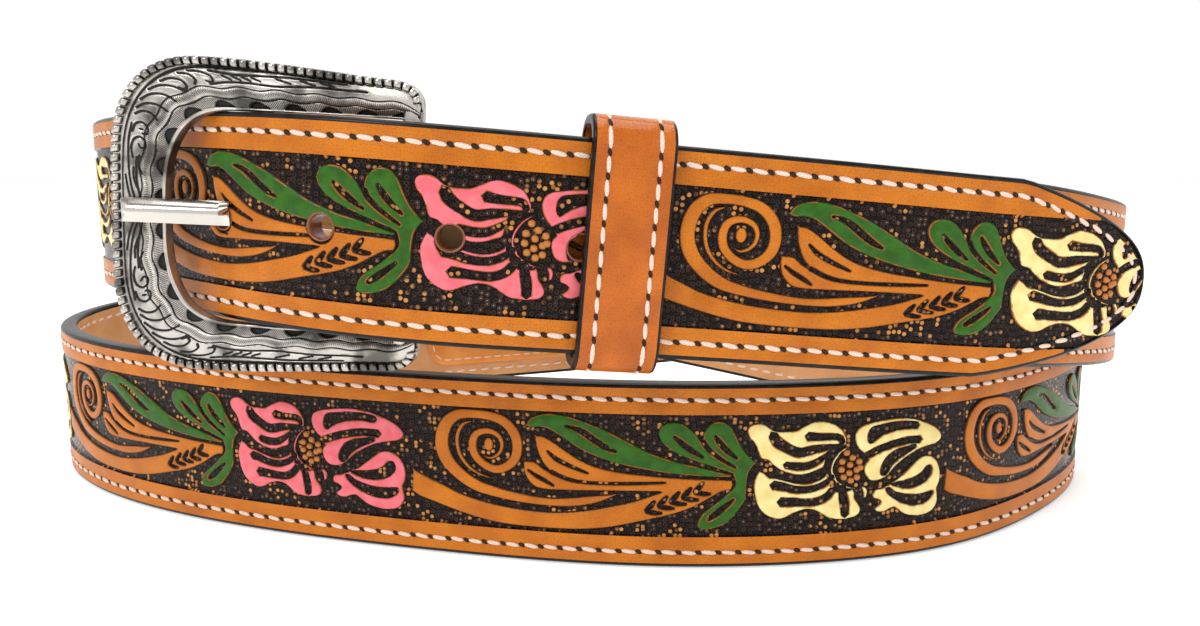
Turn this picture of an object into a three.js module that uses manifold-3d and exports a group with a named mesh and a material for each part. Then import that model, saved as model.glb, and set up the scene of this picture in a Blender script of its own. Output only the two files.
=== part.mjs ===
// A tooled western belt, buckled and coiled in two tiers, standing on the lower edge of its strap.
// Millimetres, +Z up, +X to the right as seen from the buckle's side, +Y towards the back.
// The floor is z = 0 and the origin is below the middle of the coil.
import * as THREE from 'three';
import { mergeVertices } from 'three/addons/utils/BufferGeometryUtils.js';
import Module from 'manifold-3d';

const wasm = await Module();
wasm.setup();

// Strap: a tooled outer layer and a plain lining
const STRAP_WIDTH = 38.1;
const TOOLED_LAYER = 2.2;
const LINING_LAYER = 1.4;
const LAYER_GAP = 0.3;
const EDGE_ROUND = 0.7;
const BORDER = 6.5;
const FIELD_SINK = 0.4;
const LINING_SETBACK = 0.4;

// Coil
const COIL_WIDTH = 280;
const COIL_DEPTH = 150;
const STRAP_STEP = 7;
const OVERLAP_GAP = 0.8;

// Free end: a tapering round nose and a row of holes
const NOSE_UPPER_LENGTH = 34;
const NOSE_LOWER_LENGTH = 40;
const NOSE_POWER = 0.4;
const NOSE_SECTIONS = 12;
const HOLE_COUNT = 5;
const FIRST_HOLE = 117.7;
const HOLE_SPACING = 22.3;
const HOLE_DIAMETER = 4.8;
const BUCKLED_HOLE = 3;

// Buckle: a cast frame with a heel bar, and its prong
const HEEL_BAR_DIAMETER = 4;
const HEEL_FIT = 0.3;
const HEEL_PLACE = 149.6;
const FRAME_LENGTH = 55.8;
const FRAME_THICKNESS = 3.4;
const FRAME_BEVEL = 0.9;
const FRAME_LEFT_HALF_HEIGHT = 28.6;
const FRAME_HEEL_HALF_HEIGHT = 26.2;
const FRAME_BAR_WIDTH = 10.4;
const FRAME_HEEL_OVERHANG = 2.2;
const FRAME_CLEARANCE = 1.3;
const FRAME_CROSSING = 39;
const WINDOW_CORNER = 12.7;
const WINDOW_CORNER_HEIGHT = 16.3;
const ROPE_WIDTH = 1.8;
const ROPE_RISE = 0.6;
const ROPE_BEVEL = 0.5;
const PRONG_WIDTH = 4.2;
const PRONG_THICKNESS = 2.8;
const PRONG_SHANK_WIDTH = 3.2;
const PRONG_SHANK_THICKNESS = 2;
const PRONG_LOOP_WALL = 2;
const PRONG_LOOP_LENGTH = 5;
const PRONG_GAP = 0.5;
const PRONG_BEVEL = 2.6;
const PRONG_TIP_INSET = 2.6;
const PRONG_REST_GAP = 0.8;
const PRONG_HEAD_BACK = 1;

// Fold of the tooled layer round the heel bar
const FOLD_BACK_LENGTH = 30;
const FOLD_SETTLE = 14;
const LINING_STOP = 7;
const SLOT_CLEARANCE = 0.5;

// Keeper: a stitched leather loop round both straps
const KEEPER_PLACE = 110;
const KEEPER_WIDTH = 15;
const KEEPER_WALL = 2;
const KEEPER_HEIGHT = 45.6;
const KEEPER_RAISE = 0.5;
const KEEPER_FIT = 0.8;

// Bare leather patch on the lining of the outer back strand
const PATCH_START_SHARE = 0.709;
const PATCH_LENGTH = 62;
const PATCH_HEIGHT = 26;
const PATCH_LIFT = 5.5;
const PATCH_THICKNESS = 1.3;
const PATCH_CORNER = 6;
const SEAT_GAP = 0.3;

// Facets
const ROUND_SIDES = 16;
const BEVEL_STEPS = 2;
const OUTLINE_STEPS = 9;
const CORNER_STEPS = 5;
const FOLD_TURNS = 8;
const FOLD_STEPS = 6;
const PATCH_STEPS = 8;
const HOLE_SIDES = 12;
const MERGE = 1e-4;

// The strap's middle line, from the tip of the free end to the buckle: control rows of a smooth curve.
// across: share of the coil's width from its middle, back: share of the coil's depth from the front of
// the lower turn, lift: height of the strap's lower edge as a share of the strap's width.
const ROUTE = [
  { across: 0.3875, back: 0.0665, lift: 1.003 },
  { across: 0.333, back: 0.020, lift: 1.021 },
  { across: 0.257, back: -0.027, lift: 1.066 },
  { across: 0.150, back: -0.063, lift: 1.144 },
  { across: 0.029, back: -0.087, lift: 1.223 },
  { across: -0.093, back: -0.137, lift: 1.302 },
  { across: -0.200, back: -0.103, lift: 1.365 },
  { across: -0.295, back: 0.033, lift: 1.391 },
  { across: -0.373, back: 0.187, lift: 1.386 },
  { across: -0.436, back: 0.353, lift: 1.365 },
  { across: -0.454, back: 0.547, lift: 1.299 },
  { across: -0.404, back: 0.693, lift: 1.180 },
  { across: -0.293, back: 0.760, lift: 1.010 },
  { across: -0.143, back: 0.780, lift: 0.827 },
  { across: 0.018, back: 0.787, lift: 0.590 },
  { across: 0.179, back: 0.787, lift: 0.328 },
  { across: 0.321, back: 0.773, lift: 0.105 },
  { across: 0.429, back: 0.693, lift: 0 },
  { across: 0.463, back: 0.533, lift: 0 },
  { across: 0.432, back: 0.367, lift: 0 },
  { across: 0.364, back: 0.220, lift: 0 },
  { across: 0.271, back: 0.077, lift: 0 },
  { across: 0.150, back: 0.017, lift: 0 },
  { across: 0.018, back: 0.010, lift: 0 },
  { across: -0.125, back: 0.070, lift: 0 },
  { across: -0.268, back: 0.147, lift: 0 },
  { across: -0.393, back: 0.253, lift: 0 },
  { across: -0.489, back: 0.400, lift: 0 },
  { across: -0.539, back: 0.587, lift: 0 },
  { across: -0.500, back: 0.767, lift: 0.052 },
  { across: -0.375, back: 0.867, lift: 0.131 },
  { across: -0.214, back: 0.887, lift: 0.210 },
  { across: -0.036, back: 0.887, lift: 0.315 },
  { across: 0.143, back: 0.887, lift: 0.446 },
  { across: 0.304, back: 0.853, lift: 0.590 },
  { across: 0.429, back: 0.747, lift: 0.709 },
  { across: 0.486, back: 0.547, lift: 0.801 },
  { across: 0.454, back: 0.333, lift: 0.848 },
  { across: 0.382, back: 0.187, lift: 0.945 },
  { across: 0.293, back: 0.060, lift: 1.045 },
];
// Rows of the free end that the buckle end follows on the inside, in the order in which it passes them
const FOLLOWED_ROWS = [3, 4, 5, 6];

const THICKNESS = TOOLED_LAYER + LAYER_GAP + LINING_LAYER;
const HALF = THICKNESS / 2;
const TOOLED_MIDDLE = HALF - TOOLED_LAYER / 2;
const LINING_MIDDLE = -HALF + LINING_LAYER / 2;
const MID_HEIGHT = STRAP_WIDTH / 2;

const finishes = {
  tooledLeather: { color: 0xb4661f, roughness: 0.42, metalness: 0 },
  lining: { color: 0xd9ab72, roughness: 0.7, metalness: 0 },
  keeperLeather: { color: 0xc06a1e, roughness: 0.4, metalness: 0 },
  patchLeather: { color: 0xd9822b, roughness: 0.6, metalness: 0 },
  antiqueSilver: { color: 0xa9a69f, roughness: 0.35, metalness: 1 },
  polishedSilver: { color: 0xc9c6c0, roughness: 0.2, metalness: 1 },
};

const add = (point, direction, distance) => point.clone().addScaledVector(direction, distance);

// Route

function rowPoint(row) {
  return new THREE.Vector3(row.across * COIL_WIDTH, row.back * COIL_DEPTH, row.lift * STRAP_WIDTH);
}

function inwardOf(before, after) {
  return new THREE.Vector3(after.y - before.y, before.x - after.x, 0).normalize();
}

function controlPoints() {
  const points = ROUTE.map(rowPoint);
  const follow = THICKNESS + OVERLAP_GAP;
  const followed = FOLLOWED_ROWS.map((i) => add(points[i], inwardOf(points[i - 1], points[i + 1]), follow));
  return [...points, ...followed];
}

// A uniform cubic B-spline through the control points, run straight out at both ends
function splinePoint(control, segment, t) {
  const last = control.length - 1;
  const at = (i) => {
    if (i < 0) return control[0].clone().multiplyScalar(2).sub(control[1]);
    if (i > last) return control[last].clone().multiplyScalar(2).sub(control[last - 1]);
    return control[i];
  };
  const weights = [
    (1 - t) ** 3 / 6,
    (3 * t ** 3 - 6 * t ** 2 + 4) / 6,
    (-3 * t ** 3 + 3 * t ** 2 + 3 * t + 1) / 6,
    t ** 3 / 6,
  ];
  const point = new THREE.Vector3();
  weights.forEach((weight, i) => point.addScaledVector(at(segment - 1 + i), weight));
  return point;
}

function densePath() {
  const control = controlPoints();
  const pieces = 24;
  const points = [];
  for (let i = 0; i < control.length - 1; i += 1) {
    for (let j = 0; j < pieces; j += 1) points.push(splinePoint(control, i, j / pieces));
  }
  points.push(splinePoint(control, control.length - 2, 1));
  const lengths = [0];
  for (let i = 1; i < points.length; i += 1) {
    lengths.push(lengths[i - 1] + points[i].distanceTo(points[i - 1]));
  }
  const heelSide = lengths.findIndex((s) => s >= HEEL_PLACE);
  let end = points.length - 1;
  const gap = (i) => Math.hypot(points[i].x - points[heelSide].x, points[i].y - points[heelSide].y);
  while (gap(end - 1) < gap(end)) end -= 1;
  return { points, lengths, total: lengths[end] };
}

const path = densePath();

function pathPoint(s) {
  const { points, lengths } = path;
  let i = 1;
  while (i < lengths.length - 1 && lengths[i] < s) i += 1;
  const share = (s - lengths[i - 1]) / (lengths[i] - lengths[i - 1]);
  return points[i - 1].clone().lerp(points[i], share);
}

// The strap at a distance s from the tip: its lower edge's middle, and its own three directions
function station(s) {
  const reach = 1;
  const ahead = pathPoint(s + reach);
  const behind = pathPoint(Math.max(s - reach, 0));
  const along = ahead.sub(behind).normalize();
  const out = new THREE.Vector3(-along.y, along.x, 0).normalize();
  const up = new THREE.Vector3().crossVectors(along, out);
  if (up.z < 0) up.negate();
  return { s, point: pathPoint(s), along, out, up };
}

const stationPoint = (place, outward, height) => add(add(place.point, place.out, outward), place.up, height);

// Solids

function geometryFrom(positions, indices) {
  const geometry = new THREE.BufferGeometry();
  geometry.setAttribute('position', new THREE.Float32BufferAttribute(positions, 3));
  geometry.setIndex(indices);
  return geometry;
}

function volumeOf(geometry) {
  const { position } = geometry.attributes;
  const index = geometry.index.array;
  const [a, b, c] = [0, 1, 2].map(() => new THREE.Vector3());
  let volume = 0;
  for (let i = 0; i < index.length; i += 3) {
    a.fromBufferAttribute(position, index[i]);
    b.fromBufferAttribute(position, index[i + 1]);
    c.fromBufferAttribute(position, index[i + 2]);
    volume += a.dot(b.cross(c)) / 6;
  }
  return volume;
}

function facingOut(geometry) {
  if (volumeOf(geometry) > 0) return geometry;
  const index = Array.from(geometry.index.array);
  for (let i = 0; i < index.length; i += 3) {
    [index[i + 1], index[i + 2]] = [index[i + 2], index[i + 1]];
  }
  geometry.setIndex(index);
  return geometry;
}

// A closed body through rings of equally many points, with a flat fan on each end
function loft(rings) {
  const count = rings[0].length;
  const positions = rings.flat().flatMap((p) => [p.x, p.y, p.z]);
  const indices = [];
  for (let r = 0; r < rings.length - 1; r += 1) {
    for (let i = 0; i < count; i += 1) {
      const a = r * count + i;
      const b = r * count + ((i + 1) % count);
      indices.push(a, b, b + count, a, b + count, a + count);
    }
  }
  const end = (rings.length - 1) * count;
  for (let i = 1; i < count - 1; i += 1) {
    indices.push(0, i + 1, i);
    indices.push(end, end + i, end + i + 1);
  }
  return facingOut(geometryFrom(positions, indices));
}

function solidOf(geometry) {
  const bare = geometry.clone();
  bare.deleteAttribute('normal');
  bare.deleteAttribute('uv');
  const merged = mergeVertices(bare, MERGE);
  return new wasm.Manifold(new wasm.Mesh({
    numProp: 3,
    vertProperties: new Float32Array(merged.attributes.position.array),
    triVerts: new Uint32Array(merged.index.array),
  }));
}

function geometryOf(solid) {
  const mesh = solid.getMesh();
  return geometryFrom(Array.from(mesh.vertProperties), Array.from(mesh.triVerts));
}

// A cylinder through a middle point along a direction
function barSolid(middle, direction, radius, length, sides) {
  const bar = new THREE.CylinderGeometry(radius, radius, length, sides);
  const turn = new THREE.Quaternion().setFromUnitVectors(new THREE.Vector3(0, 1, 0), direction);
  bar.applyQuaternion(turn);
  bar.translate(middle.x, middle.y, middle.z);
  return solidOf(bar);
}

// A block with its own three directions
function blockSolid(middle, axes, sizes) {
  const block = new THREE.BoxGeometry(...sizes);
  const turn = new THREE.Matrix4().makeBasis(...axes).setPosition(middle);
  block.applyMatrix4(turn);
  return solidOf(facingOut(mergeVertices(bareOf(block), MERGE)));
}

function bareOf(geometry) {
  const bare = geometry.clone();
  bare.deleteAttribute('normal');
  bare.deleteAttribute('uv');
  return bare;
}

// Strap

// Lower and upper edge of the strap at a distance from the tip, measured up the strap
function noseEdges(s) {
  const spread = (length) => MID_HEIGHT * Math.min(1, s / length) ** NOSE_POWER;
  return { low: MID_HEIGHT - spread(NOSE_LOWER_LENGTH), high: MID_HEIGHT + spread(NOSE_UPPER_LENGTH) };
}

function strapDistances() {
  const distances = [];
  for (let i = 1; i <= NOSE_SECTIONS; i += 1) {
    distances.push(NOSE_LOWER_LENGTH * (i / NOSE_SECTIONS) ** (1 / NOSE_POWER));
  }
  const rest = path.total - NOSE_LOWER_LENGTH;
  const steps = Math.round(rest / STRAP_STEP);
  for (let i = 1; i <= steps; i += 1) distances.push(NOSE_LOWER_LENGTH + (rest * i) / steps);
  return distances;
}

// Section of the tooled layer: rounded outer edges, raised borders and a sunk field between them
function tooledRing(place, middle, low, high, sink) {
  const inner = middle - TOOLED_LAYER / 2;
  const face = middle + TOOLED_LAYER / 2;
  const room = Math.min(1, (high - low) / (2 * (BORDER + FIELD_SINK + 1)));
  const round = EDGE_ROUND * room;
  const border = BORDER * room;
  const foot = border + FIELD_SINK * room;
  return [
    [inner, low],
    [face - round, low],
    [face, low + round],
    [face, low + border],
    [face - sink, low + foot],
    [face - sink, high - foot],
    [face, high - border],
    [face, high - round],
    [face - round, high],
    [inner, high],
  ].map(([outward, height]) => stationPoint(place, outward, height));
}

function plainRing(place, innerFace, outerFace, low, high) {
  return [
    [outerFace, high],
    [outerFace, low],
    [innerFace, low],
    [innerFace, high],
  ].map(([outward, height]) => stationPoint(place, outward, height));
}

const fieldSink = (s) => FIELD_SINK * THREE.MathUtils.smoothstep(s, NOSE_LOWER_LENGTH / 3, NOSE_LOWER_LENGTH);

// The fold: the tooled layer turns round the heel bar and lies back on the lining
const buckleEnd = station(path.total);
const foldRadius = HEEL_BAR_DIAMETER / 2 + HEEL_FIT + TOOLED_LAYER / 2;
const barOffset = TOOLED_MIDDLE - foldRadius;
const heelPoint = stationPoint(buckleEnd, barOffset, MID_HEIGHT);

function foldPlaces() {
  const places = [];
  for (let i = 1; i <= FOLD_TURNS; i += 1) {
    const angle = (i / FOLD_TURNS) * Math.PI;
    const centre = add(buckleEnd.point, buckleEnd.out, barOffset);
    const out = buckleEnd.out.clone().multiplyScalar(Math.cos(angle));
    out.addScaledVector(buckleEnd.along, Math.sin(angle));
    places.push({ place: { ...buckleEnd, point: centre, out }, middle: foldRadius });
  }
  const lying = -(HALF + SEAT_GAP + TOOLED_LAYER / 2);
  const leaving = barOffset - foldRadius;
  for (let i = 1; i <= FOLD_STEPS; i += 1) {
    const back = (FOLD_BACK_LENGTH * i) / FOLD_STEPS;
    const here = station(path.total - back);
    const settle = THREE.MathUtils.smoothstep(back, 0, FOLD_SETTLE);
    const depth = leaving + (lying - leaving) * settle;
    places.push({ place: { ...here, out: here.out.clone().negate() }, middle: -depth });
  }
  return places;
}

function tooledStrap() {
  const rings = strapDistances().map((s) => {
    const { low, high } = noseEdges(s);
    const sink = s > path.total - STRAP_STEP / 2 ? 0 : fieldSink(s);
    return tooledRing(station(s), TOOLED_MIDDLE, low, high, sink);
  });
  foldPlaces().forEach(({ place, middle }) => {
    rings.push(tooledRing(place, middle, 0, STRAP_WIDTH, 0));
  });
  let solid = solidOf(loft(rings));
  for (let i = 0; i < HOLE_COUNT; i += 1) solid = solid.subtract(holeSolid(i));
  const slotAxes = [buckleEnd.along, buckleEnd.up.clone().cross(buckleEnd.along), buckleEnd.up];
  const loopRadius = HEEL_BAR_DIAMETER / 2 + HEEL_FIT + PRONG_LOOP_WALL;
  const slotLength = 2 * (loopRadius + SLOT_CLEARANCE) + TOOLED_LAYER;
  const slotDepth = 2 * (foldRadius + TOOLED_LAYER);
  const slotHeight = PRONG_LOOP_LENGTH + 2 * SLOT_CLEARANCE;
  const slotMiddle = add(heelPoint, buckleEnd.along, TOOLED_LAYER / 2);
  solid = solid.subtract(blockSolid(slotMiddle, slotAxes, [slotLength, slotDepth, slotHeight]));
  return geometryOf(solid);
}

const holePlace = (i) => station(FIRST_HOLE + i * HOLE_SPACING);

function holeSolid(i) {
  const place = holePlace(i);
  const middle = stationPoint(place, 0, MID_HEIGHT);
  return barSolid(middle, place.out, HOLE_DIAMETER / 2, 3 * THICKNESS, HOLE_SIDES);
}

function liningStrap() {
  const rings = strapDistances().filter((s) => s < path.total - LINING_STOP).map((s) => {
    const { low, high } = noseEdges(s);
    const set = LINING_SETBACK * Math.min(1, (high - low) / BORDER);
    const inner = LINING_MIDDLE - LINING_LAYER / 2;
    return plainRing(station(s), inner, inner + LINING_LAYER, low + set, high - set);
  });
  let solid = solidOf(loft(rings));
  for (let i = 0; i < HOLE_COUNT; i += 1) solid = solid.subtract(holeSolid(i));
  return geometryOf(solid);
}

// Buckle

// The frame leans forward from the heel bar, so that the free end passes behind it at the window's left corners
function crossingPoint() {
  const outward = HALF + SEAT_GAP + FRAME_THICKNESS / 2;
  const pointAt = (s) => stationPoint(station(s), outward, MID_HEIGHT);
  let near = HEEL_PLACE;
  let far = near + 2 * FRAME_CROSSING;
  for (let i = 0; i < 40; i += 1) {
    const tried = (near + far) / 2;
    if (pointAt(tried).distanceTo(heelPoint) < FRAME_CROSSING) near = tried;
    else far = tried;
  }
  return pointAt(near);
}

const frameAlong = crossingPoint().sub(heelPoint).normalize();
const frameUp = buckleEnd.up.clone().projectOnPlane(frameAlong).normalize();
const frameOut = new THREE.Vector3().crossVectors(frameUp, frameAlong).normalize();

const framePoint = (u, v, w) => add(add(add(heelPoint, frameAlong, u), frameUp, v), frameOut, w);

function placeInFrame(geometry) {
  const turn = new THREE.Matrix4().makeBasis(frameAlong, frameUp, frameOut).setPosition(heelPoint);
  const placed = bareOf(geometry);
  placed.applyMatrix4(turn);
  const merged = mergeVertices(placed, MERGE);
  return facingOut(merged);
}

// The frame's outline, set in by a margin: bulged corners at the left, tapering to the heel
function frameOutline(margin) {
  const left = FRAME_LENGTH - margin;
  const heel = -FRAME_HEEL_OVERHANG + margin;
  const tall = FRAME_LEFT_HALF_HEIGHT - margin;
  const low = FRAME_HEEL_HALF_HEIGHT - margin;
  const shape = new THREE.Shape();
  shape.moveTo(heel, -low * 0.8);
  shape.lineTo(heel, low * 0.8);
  shape.bezierCurveTo(heel, low * 0.93, left * 0.01, low, left * 0.08, low);
  shape.bezierCurveTo(left * 0.28, low * 1.03, left * 0.49, tall, left * 0.7, tall);
  shape.bezierCurveTo(left * 0.88, tall, left * 0.98, tall * 0.79, left * 0.997, tall * 0.46);
  shape.bezierCurveTo(left * 1.001, tall * 0.18, left * 1.001, -tall * 0.18, left * 0.997, -tall * 0.46);
  shape.bezierCurveTo(left * 0.98, -tall * 0.79, left * 0.88, -tall, left * 0.7, -tall);
  shape.bezierCurveTo(left * 0.49, -tall, left * 0.28, -low * 1.03, left * 0.08, -low);
  shape.bezierCurveTo(left * 0.01, -low, heel, -low * 0.93, heel, -low * 0.8);
  return shape;
}

function windowPath() {
  const half = MID_HEIGHT + FRAME_CLEARANCE;
  const left = FRAME_LENGTH - FRAME_BAR_WIDTH;
  const right = HEEL_BAR_DIAMETER / 2;
  const window = new THREE.Path();
  window.moveTo(right, -half);
  window.lineTo(left - WINDOW_CORNER, -half);
  window.quadraticCurveTo(left, -half, left, -half + WINDOW_CORNER_HEIGHT);
  window.lineTo(left, half - WINDOW_CORNER_HEIGHT);
  window.quadraticCurveTo(left, half, left - WINDOW_CORNER, half);
  window.lineTo(right, half);
  window.closePath();
  return window;
}

function extruded(shape, from, depth, bevel) {
  const geometry = new THREE.ExtrudeGeometry(shape, {
    depth: depth - 2 * bevel,
    bevelEnabled: bevel > 0,
    bevelThickness: bevel,
    bevelSize: bevel,
    bevelOffset: -bevel,
    bevelSegments: BEVEL_STEPS,
    curveSegments: OUTLINE_STEPS,
    steps: 1,
  });
  geometry.translate(0, 0, from + bevel);
  return solidOf(placeInFrame(geometry));
}

function buckleFrame() {
  const plate = frameOutline(0);
  plate.holes.push(windowPath());
  const ropeTop = FRAME_THICKNESS / 2 + ROPE_RISE;
  const rope = extruded(frameOutline(0), 0, ropeTop, ROPE_BEVEL);
  const dish = extruded(frameOutline(ROPE_WIDTH), -ROPE_RISE, ropeTop + 2 * ROPE_RISE, 0);
  let solid = extruded(plate, -FRAME_THICKNESS / 2, FRAME_THICKNESS, FRAME_BEVEL);
  solid = solid.add(rope.subtract(dish));
  const clear = 2 * (MID_HEIGHT + FRAME_CLEARANCE);
  const room = [2 * (FRAME_HEEL_OVERHANG + HEEL_BAR_DIAMETER), clear, 4 * FRAME_THICKNESS];
  solid = solid.subtract(blockSolid(heelPoint, [frameAlong, frameUp, frameOut], room));
  const barLength = clear + FRAME_BEVEL * 2;
  return geometryOf(solid.add(barSolid(heelPoint, buckleEnd.up, HEEL_BAR_DIAMETER / 2, barLength, HOLE_SIDES)));
}

// Prong: a loop on the heel bar, a shank behind the free end and up through its hole, and a faceted bar in front
function segmentSolid(from, to, up, width, thickness) {
  const along = to.clone().sub(from);
  const length = along.length();
  along.normalize();
  const side = new THREE.Vector3().crossVectors(along, up).normalize();
  const squared = new THREE.Vector3().crossVectors(side, along).normalize();
  const middle = from.clone().lerp(to, 0.5);
  return blockSolid(middle, [along, squared, side], [length, width, thickness]);
}

function prongRing(centre, up, out, scale) {
  const half = PRONG_WIDTH / 2;
  const high = PRONG_THICKNESS * scale;
  return [
    [-half, 0],
    [half, 0],
    [half, high * 0.45],
    [half * 0.5, high],
    [-half * 0.5, high],
    [-half, high * 0.45],
  ].map(([across, rise]) => add(add(centre, up, across), out, rise));
}

function prong() {
  const hole = holePlace(BUCKLED_HOLE);
  const up = hole.up;
  const shankHalf = PRONG_SHANK_THICKNESS / 2;
  const inner = stationPoint(hole, -(HALF + SEAT_GAP + shankHalf), MID_HEIGHT);
  const outer = stationPoint(hole, HALF + PRONG_GAP + shankHalf, MID_HEIGHT);
  const barFace = FRAME_THICKNESS / 2 + ROPE_RISE + PRONG_REST_GAP;
  const rest = framePoint(FRAME_LENGTH - PRONG_TIP_INSET, 0, barFace);
  const foot = stationPoint(hole, HALF + PRONG_GAP, MID_HEIGHT);
  const along = rest.clone().sub(foot).normalize();
  const side = new THREE.Vector3().crossVectors(along, up).normalize();
  if (side.dot(hole.out) < 0) side.negate();
  const start = add(foot, along, -PRONG_HEAD_BACK);
  const length = start.distanceTo(rest);
  const rings = [
    prongRing(start, up, side, 0.45),
    prongRing(add(start, along, PRONG_BEVEL), up, side, 1),
    prongRing(add(start, along, length - PRONG_BEVEL), up, side, 1),
    prongRing(rest, up, side, 0.45),
  ];
  let solid = solidOf(loft(rings));
  const loopOuter = HEEL_BAR_DIAMETER / 2 + HEEL_FIT + PRONG_LOOP_WALL;
  const loopInner = HEEL_BAR_DIAMETER / 2 + HEEL_FIT;
  const loopEdge = add(heelPoint, inner.clone().sub(heelPoint).normalize(), (loopInner + loopOuter) / 2);
  const elbow = add(inner, hole.out, -shankHalf);
  const elbowEnd = add(inner, inner.clone().sub(loopEdge).normalize(), shankHalf);
  solid = solid.add(segmentSolid(loopEdge, elbowEnd, up, PRONG_SHANK_WIDTH, PRONG_SHANK_THICKNESS));
  solid = solid.add(segmentSolid(elbow, add(outer, hole.out, shankHalf), up, PRONG_SHANK_WIDTH, PRONG_SHANK_THICKNESS));
  solid = solid.add(barSolid(heelPoint, buckleEnd.up, loopOuter, PRONG_LOOP_LENGTH, ROUND_SIDES));
  const bore = barSolid(heelPoint, buckleEnd.up, loopInner, 2 * PRONG_LOOP_LENGTH, ROUND_SIDES);
  return geometryOf(solid.subtract(bore));
}

// Keeper

function roundedLoop(halfDepth, halfHeight, corner) {
  const shape = new THREE.Shape();
  shape.moveTo(-halfDepth + corner, -halfHeight);
  shape.lineTo(halfDepth - corner, -halfHeight);
  shape.absarc(halfDepth - corner, -halfHeight + corner, corner, -Math.PI / 2, 0);
  shape.absarc(halfDepth - corner, halfHeight - corner, corner, 0, Math.PI / 2);
  shape.absarc(-halfDepth + corner, halfHeight - corner, corner, Math.PI / 2, Math.PI);
  shape.absarc(-halfDepth + corner, -halfHeight + corner, corner, Math.PI, Math.PI * 1.5);
  return shape;
}

function keeperLoop() {
  const place = station(KEEPER_PLACE);
  const inward = HALF + OVERLAP_GAP + THICKNESS + KEEPER_FIT;
  const outward = HALF + KEEPER_FIT;
  const halfInside = (inward + outward) / 2;
  const halfDepth = halfInside + KEEPER_WALL;
  const corner = halfDepth * 0.8;
  const shape = roundedLoop(halfDepth, KEEPER_HEIGHT / 2, corner);
  const hole = roundedLoop(halfInside, KEEPER_HEIGHT / 2 - KEEPER_WALL, corner - KEEPER_WALL);
  shape.holes.push(hole);
  const geometry = new THREE.ExtrudeGeometry(shape, {
    depth: KEEPER_WIDTH,
    bevelEnabled: false,
    curveSegments: CORNER_STEPS,
  });
  geometry.translate(0, 0, -KEEPER_WIDTH / 2);
  const middle = stationPoint(place, outward - halfInside, MID_HEIGHT + KEEPER_RAISE);
  const turn = new THREE.Matrix4().makeBasis(place.out, place.up, place.along).setPosition(middle);
  const placed = bareOf(geometry);
  placed.applyMatrix4(turn);
  return facingOut(mergeVertices(placed, MERGE));
}

// Patch

function labelPatch() {
  const begin = PATCH_START_SHARE * path.total;
  const rings = [];
  const distances = [];
  for (let i = 0; i <= CORNER_STEPS; i += 1) {
    distances.push(PATCH_CORNER * (1 - Math.cos((i / CORNER_STEPS) * (Math.PI / 2))));
  }
  const inner = PATCH_LENGTH - 2 * PATCH_CORNER;
  for (let i = 1; i < PATCH_STEPS; i += 1) distances.push(PATCH_CORNER + (inner * i) / PATCH_STEPS);
  for (let i = CORNER_STEPS; i >= 0; i -= 1) {
    distances.push(PATCH_LENGTH - PATCH_CORNER * (1 - Math.cos((i / CORNER_STEPS) * (Math.PI / 2))));
  }
  const face = -(HALF + SEAT_GAP);
  distances.forEach((d) => {
    const edge = Math.min(d, PATCH_LENGTH - d);
    const left = Math.max(0, 1 - edge / PATCH_CORNER);
    const cut = PATCH_CORNER * (1 - Math.sqrt(1 - left ** 2));
    const place = station(begin + d);
    rings.push(plainRing(place, face - PATCH_THICKNESS, face, PATCH_LIFT + cut, PATCH_LIFT + PATCH_HEIGHT - cut));
  });
  return loft(rings);
}

// Belt

function piece(name, geometry, finish) {
  const material = new THREE.MeshStandardMaterial({ ...finish, flatShading: true });
  const mesh = new THREE.Mesh(geometry, material);
  mesh.name = name;
  return mesh;
}

const belt = new THREE.Group();
belt.add(piece('tooled_strap', tooledStrap(), finishes.tooledLeather));
belt.add(piece('lining', liningStrap(), finishes.lining));
belt.add(piece('buckle_frame', buckleFrame(), finishes.antiqueSilver));
belt.add(piece('prong', prong(), finishes.polishedSilver));
belt.add(piece('keeper', keeperLoop(), finishes.keeperLeather));
belt.add(piece('label_patch', labelPatch(), finishes.patchLeather));

const box = new THREE.Box3().setFromObject(belt);
const boxMiddle = box.getCenter(new THREE.Vector3());
belt.position.set(-boxMiddle.x, -boxMiddle.y, -box.min.z);

export default belt;
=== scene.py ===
"""Dress the coiled western tooled belt: tooling, paint, stitches, edges, engraved buckle and keeper."""

from __future__ import annotations

import logging
import math
import random
from collections.abc import Callable
from dataclasses import dataclass, field
from enum import Enum, IntEnum

import bmesh
import bpy
import numpy as np
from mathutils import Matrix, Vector
from mathutils.geometry import delaunay_2d_cdt

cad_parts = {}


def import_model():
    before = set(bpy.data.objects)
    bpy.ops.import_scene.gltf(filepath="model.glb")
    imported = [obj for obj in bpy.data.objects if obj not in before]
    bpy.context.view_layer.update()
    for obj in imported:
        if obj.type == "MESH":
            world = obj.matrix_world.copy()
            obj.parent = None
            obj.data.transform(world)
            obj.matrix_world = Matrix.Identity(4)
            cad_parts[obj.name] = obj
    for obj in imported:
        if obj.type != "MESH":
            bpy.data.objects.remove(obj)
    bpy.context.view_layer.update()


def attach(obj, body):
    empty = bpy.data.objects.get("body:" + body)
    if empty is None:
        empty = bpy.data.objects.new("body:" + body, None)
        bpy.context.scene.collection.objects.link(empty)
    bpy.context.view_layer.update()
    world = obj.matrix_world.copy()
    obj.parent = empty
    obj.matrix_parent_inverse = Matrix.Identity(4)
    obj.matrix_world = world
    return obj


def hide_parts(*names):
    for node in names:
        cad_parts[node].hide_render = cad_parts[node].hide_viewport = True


MM = 0.001
STRAP_WIDTH = 38.1
THICKNESS = 3.9
HALF = THICKNESS / 2
MID = STRAP_WIDTH / 2
TOOLED_LAYER = 2.2
LINING_LAYER = 1.4
SEAM = 0.02
RELIEF_HEIGHT = 0.55
STITCH_INSET = 3.25
BUCKLE_FOLD = 3.4
AIR = 0.3
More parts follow.
